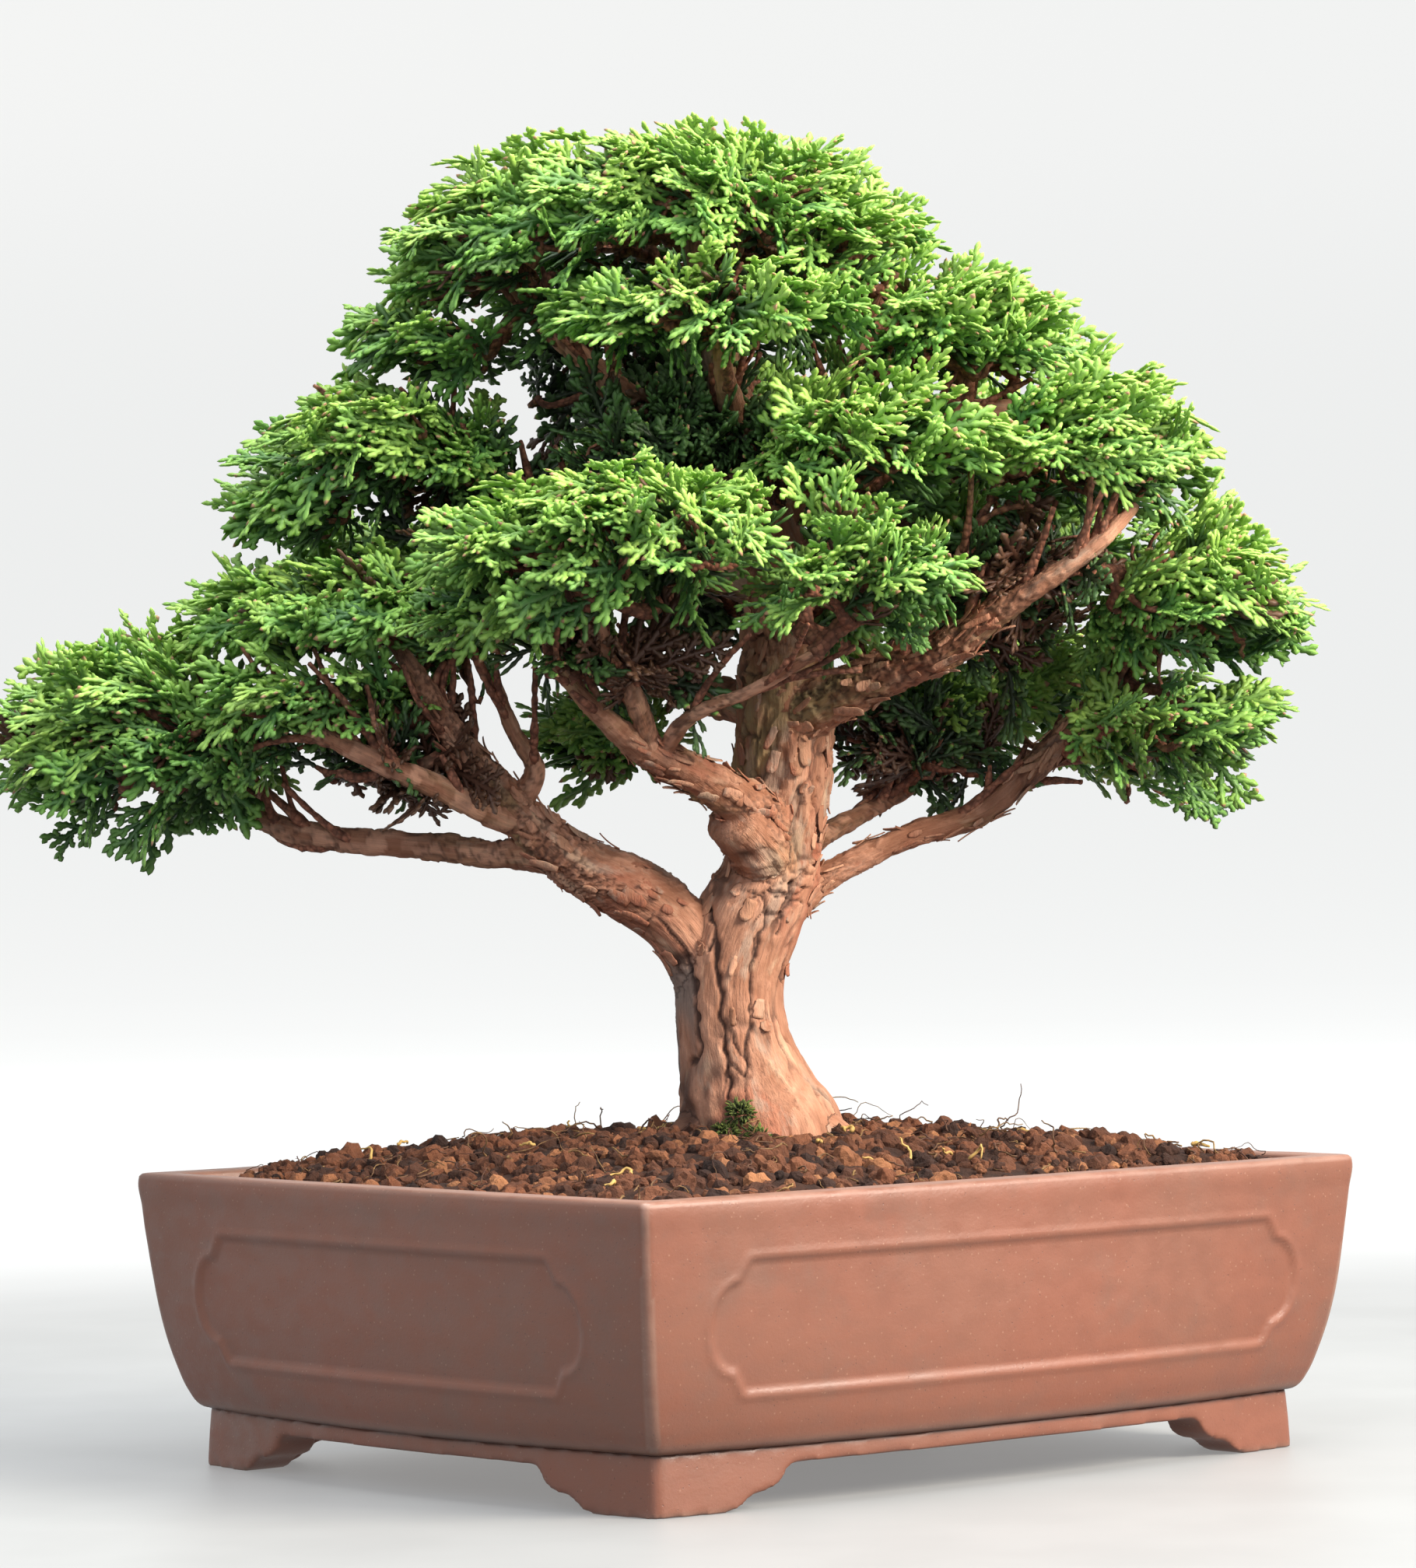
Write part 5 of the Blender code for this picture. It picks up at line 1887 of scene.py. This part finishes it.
    def leaves(self, name: str, sprays: list[Spray]) -> bpy.types.Object:
        """Make the leaves of some sprays.

        Args:
            name: The piece's name.
            sprays: Where they grow.

        Returns:
            The piece, in place.
        """
        skins = []
        for spray in sprays:
            plain = self.plain_tones[0] < spray.tone < self.plain_tones[1]
            shapes = self.plain_fans if plain else self.fans
            fan = shapes[self.random.integers(len(shapes))]
            across = np.cross(spray.face, spray.way)
            mirror = self.random.choice((-1.0, 1.0))
            turn = np.column_stack((spray.way, across * mirror, spray.face)) * spray.size
            placed = fan.moved(turn, spray.base)
            if mirror < 0:
                placed.faces = [group[:, ::-1] for group in placed.faces]
            tone = np.where(fan.marks["dead"] + spray.dead > 0, self.dead_tone, spray.tone)
            age = fan.marks["age"] * (0.35 if spray.dead else 1.0)
            placed.palette = np.column_stack((np.clip(tone + fan.marks["shift"], 0, 1), age))
            placed.marks = {}
            skins.append(placed)
        return joined(name, skins, self.middle, True)

    def shoots(self) -> list[Skin]:
        """Grow the short old shoots that stand along the limbs under the foliage.

        Returns:
            A tube for each shoot.
        """
        random = self.random
        skins = []
        for name, path in self.wood.paths.items():
            if "root" in name or name in ("trunk", "knob"):
                continue
            along, across, third = side_frames(path[:, :3])
            for spot in range(int(len(path) * 0.25), len(path) - 2, 3):
                foot = path[spot, :3]
                if min(pad.depth(foot[None])[0] for pad in self.pads) > 1.8:
                    continue
                turn = random.uniform(0, 2 * math.pi)
                out = across[spot] * math.cos(turn) + third[spot] * math.sin(turn)
                way = unit(0.8 * along[spot] + 0.6 * out + 0.4 * UP + random.normal(0, 0.2, 3))
                length = random.uniform(8, 28)
                bend = random.normal(0, 0.22, 3) + 0.15 * UP
                t = np.linspace(0, 1, 5)[:, None]
                thick = min(path[spot, 3] * 0.6, random.uniform(1.1, 1.9))
                points = foot + out * path[spot, 3] * 0.4 + way * length * t + bend * length * t**2
                if min(pad.depth(points[-1:])[0] for pad in self.pads) > 1.15:
                    continue
                fine = smooth_path(np.column_stack((points, np.linspace(thick, 0.7, 5))), 1.3)
                swell = 1 + 0.3 * noise(fine[:, :3], 1.8, 74)
                skins.append(tube(fine[:, :3], fine[:, 3] * swell, 7))
        return skins

    def twigs(self) -> bpy.types.Object:
        """Grow twigs from the limbs to every spray, the nearest first, and thicken them as they join.

        Returns:
            The piece, in place.
        """
        seeds = np.concatenate([path[::3] for name, path in self.wood.paths.items() if "root" not in name])
        seeds = seeds[seeds[:, 2] > 150]
        fixed = len(seeds)
        parents = [-1] * fixed
        sprays = [spray for pad in self.pads for spray in pad.sprays]
        bases = np.array([spray.base for spray in sprays])
        gaps = np.array([np.min(np.linalg.norm(seeds[:, :3] - base, axis=1)) for base in bases])
        runs = []
        held = np.zeros((fixed + 12 * len(bases), 3))
        held[:fixed] = seeds[:, :3]
        count = fixed
        for index in np.argsort(gaps):
            base = bases[index]
            offset = base - held[:count]
            distance = np.linalg.norm(offset, axis=1)
            lean = 1.35 - 0.35 * (offset @ sprays[index].way) / np.maximum(distance, 1e-6)
            parent = int(np.argmin(distance * lean))
            start, gap = held[parent], distance[parent]
            steps = int(np.clip(gap / 3.2, 2, 10))
            t = np.linspace(0, 1, steps + 1)[1:, None]
            elbow = base - sprays[index].way * gap * 0.45 - UP * gap * 0.05
            route = start * (1 - t) ** 2 + elbow * 2 * t * (1 - t) + base * t**2
            run = [parent]
            for point in route:
                held[count] = point
                parents.append(run[-1])
                run.append(count)
                count += 1
            runs.append(run)
        load = np.zeros(count)
        for run in runs:
            load[run[-1]] += 1
        for number in range(count - 1, fixed - 1, -1):
            load[parents[number]] += load[number]
        thinnest, thickest = self.twig_radii
        radius = np.clip(thinnest * np.maximum(load, 1) ** self.twig_flow, thinnest, thickest)
        skins = self.shoots()
        for run in runs:
            own = radius[run].copy()
            own[0] = min(own[0], own[1] * 1.15)
            fine = smooth_path(np.column_stack((held[run], own)), 1.6 if own.max() > 0.9 else 2.6)
            swell = 1 + 0.22 * noise(fine[:, :3], 1.7, 70)
            skins.append(tube(fine[:, :3], fine[:, 3] * swell, 3 if own.max() < 0.9 else 5))
        whole = Skin.join(skins)
        whole.marks = {}
        whole.points += 0.12 * noises(whole.points, 1.3, 71, 72, 73)
        return joined("twigs", [whole], self.middle, True)

    def build(self) -> None:
        """Grow every pad, then the twigs."""
        for pad in self.pads:
            self.grow(pad)
        self.fill_hearts()
        for pad in self.pads + self.hearts:
            parts = math.ceil(len(pad.sprays) / self.most_sprays)
            for part in range(parts):
                name = f"leaves_{pad.name}" + (f"_{part}" if parts > 1 else "")
                nodes = (f"foliage_{pad.name}",) if pad.name in PADS else ()
                install(self.leaves(name, pad.sprays[part::parts]), HinokiScales(), True, *nodes)
        self.pads += self.hearts
        install(self.twigs(), TwigBark())
        LOG.info("%d sprays", sum(len(pad.sprays) for pad in self.pads))


# ---------------------------------------------------------------- the soil


@dataclass
class SoilBed:
    """Akadama crumbs heaped towards the trunk, with roots, straw and a moss tuft."""

    middle: np.ndarray
    pot: ClayPot
    # (part of the pot's inside, height) from the wall to the trunk
    top: tuple = ((1.0, 76), (0.92, 79.5), (0.78, 83), (0.6, 86.5), (0.4, 88.5), (0.2, 89.5), (0, 90))
    wall_inset: float = 9.9
    lumps: float = 1.5
    lump_size: float = 14.0
    crumbs: dict = field(default_factory=lambda: {"coarse": 610, "fine": 2460})
    threads: int = 300
    moss: tuple = (-2, -25, 92.5, 7, 4.5, 6.5)  # the middle in the tree's frame and the half sizes
    moss_clumps: tuple = ((-0.5, 0.3, -0.5), (0.1, 0.1, 0.4), (0.7, -0.3, -0.7))
    moss_count: int = 520

    def height_at(self, points: np.ndarray) -> np.ndarray:
        """The height of the soil under some places.

        Args:
            points: Places in the pot's frame, of which the height is not read.

        Returns:
            One height for each place.
        """
        half = np.array((self.pot.length / 2 - self.wall_inset, self.pot.width / 2 - self.wall_inset))
        spread = np.max(np.abs(points[:, :2]) / half, axis=1)
        heap = np.array(self.top[::-1])
        flat = np.column_stack((points[:, :2], np.zeros(len(points))))
        return np.interp(spread, heap[:, 0], heap[:, 1]) + self.lumps * noise(flat, self.lump_size, 80)

    def bed(self) -> bpy.types.Object:
        """The bed under the crumbs, painted dark as the shade between them.

        Returns:
            The piece, in place.
        """
        below = ((15.5, 30.0), (12.6, 45.0), (11.0, 60.0), (self.wall_inset + 0.4, 73.0))
        rings = [self.pot.outline(inset, height) for inset, height in below]
        for spread in np.linspace(1, 0.03, 70):
            ring = self.pot.outline(self.wall_inset + 0.3, 76.0, spread)
            ring[:, 2] = self.height_at(ring) - 1.4 + 0.9 * noise(ring, 3.1, 81)
            rings.append(ring)
        skin = loft(np.array(rings))
        # painted shade: the bed shows only between the crumbs, so it gets dark tones and a low height
        rough = 0.5 + 0.5 * noise(skin.points, 2.4, 82)
        skin.palette = np.column_stack((0.14 + 0.2 * rough, 0.05 + 0.25 * rough))
        return joined("soil_bed_surface", [skin], self.middle, False)

    def moss_spot(self) -> np.ndarray:
        """Where the moss tuft grows, in the pot's frame."""
        return tree_turn()[:2, :2] @ self.moss[:2]

    def grain_shapes(self) -> list[Skin]:
        """A dozen crumbs of about one millimetre across.

        Returns:
            The coarse shapes and then the fine ones.
        """
        random = np.random.default_rng(77)
        shapes = []
        for number in range(12):
            shape = bmesh.new()
            bmesh.ops.create_icosphere(shape, subdivisions=3 if number < 5 else 2, radius=0.5)
            mesh = bpy.data.meshes.new("crumb")
            shape.to_mesh(mesh)
            shape.free()
            points = read_points(mesh) * MM
            faces = np.array([tuple(face.vertices) for face in mesh.polygons])
            bpy.data.meshes.remove(mesh)
            knobs = 0.2 * noise(points, 0.45, 90 + number) + 0.16 * noise(points, 0.2, 120 + number)
            knobs += 0.08 * noise(points, 0.09, 150 + number)
            points = points * (1 + knobs[:, None] * 1.6) * random.uniform(0.72, 1.15, 3)
            height = np.linalg.norm(points, axis=1) / 0.5
            shapes.append(Skin(points, [faces], {"out": np.clip((height - 0.6) / 0.7, 0, 1)}))
        return shapes

    def grains(self) -> list[bpy.types.Object]:
        """The crumbs on top, in two pieces.

        Returns:
            The coarse crumbs and the fine ones, in place.
        """
        random = np.random.default_rng(78)
        shapes = self.grain_shapes()
        half = np.array((self.pot.length / 2 - self.wall_inset - 2, self.pot.width / 2 - self.wall_inset - 2))
        made = []
        for word, count in self.crumbs.items():
            skins = []
            spots = random.uniform(-1, 1, (count, 2)) * half
            spots = spots[np.linalg.norm((spots - self.moss_spot()) / (9.5, 8.5), axis=1) > 1]
            for spot in spots:
                size = random.uniform(4.6, 8.4) if word == "coarse" else random.uniform(2.4, 5.4)
                level = self.height_at(np.array([spot]))[0] - random.uniform(0.2, 0.45) * size
                shape = shapes[random.integers(0, 5) if word == "coarse" else random.integers(5, 12)]
                axis = unit(random.normal(size=3))
                turn = np.array(Matrix.Rotation(random.uniform(0, 6.28), 3, Vector(axis))) * size
                placed = shape.moved(turn, np.array((spot[0], spot[1], level)))
                tone = random.beta(1.6, 2.2)
                # painted shade and highlight: each crumb darker in its dents and lighter on its knobs
                shade = 0.2 + 0.75 * shape.marks["out"]
                wobble = 0.03 * (shape.marks["out"] - 0.5)
                placed.palette = np.column_stack((np.clip(tone + wobble, 0, 1), shade))
                placed.marks = {}
                skins.append(placed)
            made.append(joined(f"soil_crumbs_{word}", skins, self.middle, False))
        return made

    def fibres(self) -> bpy.types.Object:
        """Fine roots lying about and standing out of the soil, and bits of straw.

        Returns:
            The piece, in place.
        """
        random = np.random.default_rng(79)
        half = np.array((self.pot.length / 2 - 16, self.pot.width / 2 - 16))
        skins = []
        for number in range(self.threads):
            spot = random.uniform(-1, 1, 2) * half
            straw = number % 9 == 0
            heading = random.uniform(0, 2 * math.pi)
            rise = random.uniform(0.1, 1.3)
            length = random.uniform(5, 12) if straw else random.uniform(6, 18)
            ways = [np.array((math.cos(heading), math.sin(heading), rise))]
            point = np.array((*spot, self.height_at(np.array([spot]))[0] + 0.6))
            path = [point]
            for _ in range(12):
                ways.append(unit(ways[-1] + random.normal(0, 0.42, 3) - UP * 0.13))
                path.append(path[-1] + ways[-1] * length / 12)
            path = np.array(path)
            path[:, 2] = np.maximum(path[:, 2], self.height_at(path) + 0.8)
            thick = random.uniform(0.4, 0.75) if straw else random.uniform(0.14, 0.34)
            skin = tube(path, np.linspace(thick, thick * 0.5, len(path)), 5)
            tone = random.uniform(0.75, 1.0) if straw else random.uniform(0.0, 0.35)
            skin.marks = {"tone": np.full(len(skin.points), tone)}
            skins.append(skin)
        return joined("roots_and_straw", skins, self.middle, False)

    def moss_leaves(self) -> bpy.types.Object:
        """A tuft of small upright leaves against the trunk.

        Returns:
            The piece, in place.
        """
        random = np.random.default_rng(80)
        centre, half = np.array(self.moss[:3], float), np.array(self.moss[3:], float)
        skins = []
        for _ in range(self.moss_count):
            clump = half * self.moss_clumps[random.integers(3)]
            way = unit(random.normal(size=3) * (1, 0.8, 1) + (0, -0.5, 0.4))
            base = centre + clump + way * half * random.uniform(0.2, 0.5)
            tip = base + unit(way + random.normal(0, 0.6, 3)) * random.uniform(1.0, 2.4)
            path = np.linspace(base, tip, 4) + np.outer((0, 0.1, 0.1, 0), random.normal(0, 1, 3))
            skin = tube(path, np.array((0.25, 0.34, 0.24, 0.05)), 4)
            skin.marks = {"tone": np.concatenate((np.repeat(np.linspace(0, 1, 4), 4), (0, 1)))
                          * random.uniform(0.4, 1)}
            skins.append(skin)
        return joined("moss_leaves", skins, self.middle, True)

    def build(self) -> None:
        """Make the bed and everything on it."""
        install(self.bed(), Akadama(), True, "soil_bed")
        for piece in self.grains():
            install(piece, Akadama(), False)
        install(self.fibres(), DryFibre())
        install(self.moss_leaves(), CushionMoss(), True, "moss_tuft")


# ---------------------------------------------------------------- the studio


@dataclass(frozen=True)
class PaintedFloor(Finish):
    """Matt pale paint on the studio's floor and wall, rolled on.

    It gives the eye an even near-white that glows a little, more so far away, so that no edge shows.
    """

    slot: str = ""  # the studio is no piece of the record
    roughness: float = 0.45
    near: str = "#7e807f"
    rolled: str = "#848685"
    far: str = "#3c3d3c"
    light: str = "#f6f7f6"
    glow: tuple = (0.26, 0.86)  # near the tree and far from it

    def paint(self, brush: Brush, shader: bpy.types.Node) -> None:
        """The rolled paint near the tree, and the glow that takes over far away and up the wall.

        Args:
            brush: What adds the nodes.
            shader: The material's own shader.
        """
        where = brush.place()
        up = brush.node("SeparateXYZ", {0: where}, 2)
        out = brush.node("VectorMath", {0: where}, "Value", operation="LENGTH")
        wall = brush.sums("MAXIMUM", brush.span(up, 0.0, 0.2), brush.span(out, 0.3, 1.1))
        brush.start(brush.span(brush.grit(where, 60.0), 0.3, 0.7), self.near, self.rolled)
        brush.layer(wall, self.far)
        shader.inputs["Emission Color"].default_value = linear(self.light)
        brush.tree.links.new(brush.span(wall, 0, 1, *self.glow), shader.inputs["Emission Strength"])


@dataclass
class Studio:
    """A plain pale floor that rises to a wall, soft lamps and the camera."""

    middle: np.ndarray
    yaw: float = math.radians(40.62)  # which way the camera looks, from +Y towards +X
    pitch: float = math.radians(0.522)
    roll: float = math.radians(-0.888)
    distance: float = 1591.7
    height: float = 169.9
    shift_right: float = -8.65
    lens: float = 133.05
    floor_radius: float = 3700.0  # so far out that a low camera still stands in front of the wall
    floor_bend: float = 900.0
    wall_height: float = 3200.0
    aim_height: float = 160.0  # where the lamps look
    # (name, right of the tree, behind it, up, side of the window, watts, colour)
    lamps: tuple = (("key", 1500, -750, 1100, 900, 80.0, "#fff4e6"),
                    ("fill", -350, -1400, 900, 1000, 8.0, "#f4f7ff"),
                    ("top", 150, -100, 1900, 1300, 50.0, "#ffffff"))

    def axes(self) -> tuple[np.ndarray, np.ndarray]:
        """The level ways ahead of the camera and to its right.

        Returns:
            Two level directions of length one.
        """
        ahead = np.array((math.sin(self.yaw), math.cos(self.yaw), 0.0))
        right = np.array((math.cos(self.yaw), -math.sin(self.yaw), 0.0))
        return ahead, right

    def camera(self) -> None:
        """Put the camera where it sees the pot's corner and the tree's front."""
        ahead, right = self.axes()
        forward = ahead * math.cos(self.pitch) + UP * math.sin(self.pitch)
        above = np.cross(right, forward)
        level = math.cos(self.roll) * right + math.sin(self.roll) * above
        top = -math.sin(self.roll) * right + math.cos(self.roll) * above
        place = self.middle + self.shift_right * right - self.distance * ahead + self.height * UP
        data = bpy.data.cameras.new("camera")
        data.lens = self.lens
        data.sensor_width = 36
        data.clip_end = 30
        thing = bpy.data.objects.new("camera", data)
        bpy.context.scene.collection.objects.link(thing)
        turn = Matrix((level, top, -forward)).transposed().to_4x4()
        thing.matrix_world = Matrix.Translation(Vector(place * MM)) @ turn
        bpy.context.scene.camera = thing

    def lamp(self, name: str, across: float, ahead: float, up: float, size: float, power: float,
             colour: str) -> None:
        """Hang a square soft lamp that looks at the tree.

        Args:
            name: What it is called.
            across: How far to the camera's right of the tree, in millimetres.
            ahead: How far behind the tree.
            up: How high.
            size: The side of its window.
            power: Its power in watts.
            colour: Its colour.
        """
        forward, right = self.axes()
        place = self.middle + right * across + forward * ahead + UP * up
        data = bpy.data.lights.new(name, "AREA")
        data.shape = "SQUARE"
        data.size = size * MM
        data.energy = power
        data.color = linear(colour)[:3]
        thing = bpy.data.objects.new(name, data)
        bpy.context.scene.collection.objects.link(thing)
        aim = Vector((self.middle + UP * self.aim_height - place) * MM)
        turn = aim.to_track_quat("-Z", "Y").to_matrix().to_4x4()
        thing.matrix_world = Matrix.Translation(Vector(place * MM)) @ turn

    def floor(self) -> None:
        """A round floor whose rim rises smoothly, so that no edge shows from any side."""
        turn = np.linspace(0, 2 * math.pi, 96, endpoint=False)
        circle = np.column_stack((np.cos(turn), np.sin(turn)))
        bend = np.linspace(0, math.pi / 2, 16)
        bent = self.floor_bend
        radii = [1.0, 800.0, 1600.0, *(self.floor_radius - bent + bent * np.sin(bend)), self.floor_radius]
        levels = [0.0, 0.0, 0.0, *(bent - bent * np.cos(bend)), self.wall_height]
        rings = [np.column_stack((circle * r, np.full(96, z))) for r, z in zip(radii, levels)]
        skin = loft(np.array(rings))
        skin.faces = [skin.faces[0][:, ::-1], skin.faces[1][:1, ::-1]]
        thing = joined("studio_floor", [skin], self.middle, False)
        thing.data.polygons.foreach_set("use_smooth", np.full(len(thing.data.polygons), True))
        thing.data.materials.append(PaintedFloor().material())
        thing.visible_diffuse = False
        thing.visible_shadow = False

    @staticmethod
    def sky(above: str, below: str, strength: float) -> None:
        """Even light from all round, stronger from above.

        Args:
            above: The colour from overhead.
            below: The colour from underneath.
            strength: How strong both are.
        """
        world = bpy.data.worlds.new("studio")
        bpy.context.scene.world = world
        world.use_nodes = True
        brush = Brush(world.node_tree)
        up = brush.node("SeparateXYZ", {0: brush.node("TexCoord", None, "Generated")}, 2)
        brush.start(brush.span(up, -0.5, 0.6), below, above)
        background = world.node_tree.nodes["Background"]
        world.node_tree.links.new(brush.colour, background.inputs["Color"])
        background.inputs["Strength"].default_value = strength

    def build(self) -> None:
        """Set up the floor, the lamps, the sky and the camera."""
        self.floor()
        self.camera()
        for lamp in self.lamps:
            self.lamp(*lamp)
        self.sky("#e4ecff", "#acb0b6", 0.5)
        bpy.context.scene.view_settings.view_transform = "Standard"


def main() -> None:
    """Build the object from the pot up, then the studio."""
    logging.basicConfig(level=logging.INFO, format="%(message)s")
    low, high = (np.array(corner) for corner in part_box("pot"))
    middle = (low + high) / 2 / MM * (1, 1, 0)
    pot = ClayPot(middle)
    pot.build()
    SoilBed(middle, pot).build()
    wood = Wood(middle)
    wood.build()
    Canopy(middle, wood).build()
    Studio(middle).build()


if __name__ == "__main__":
    main()
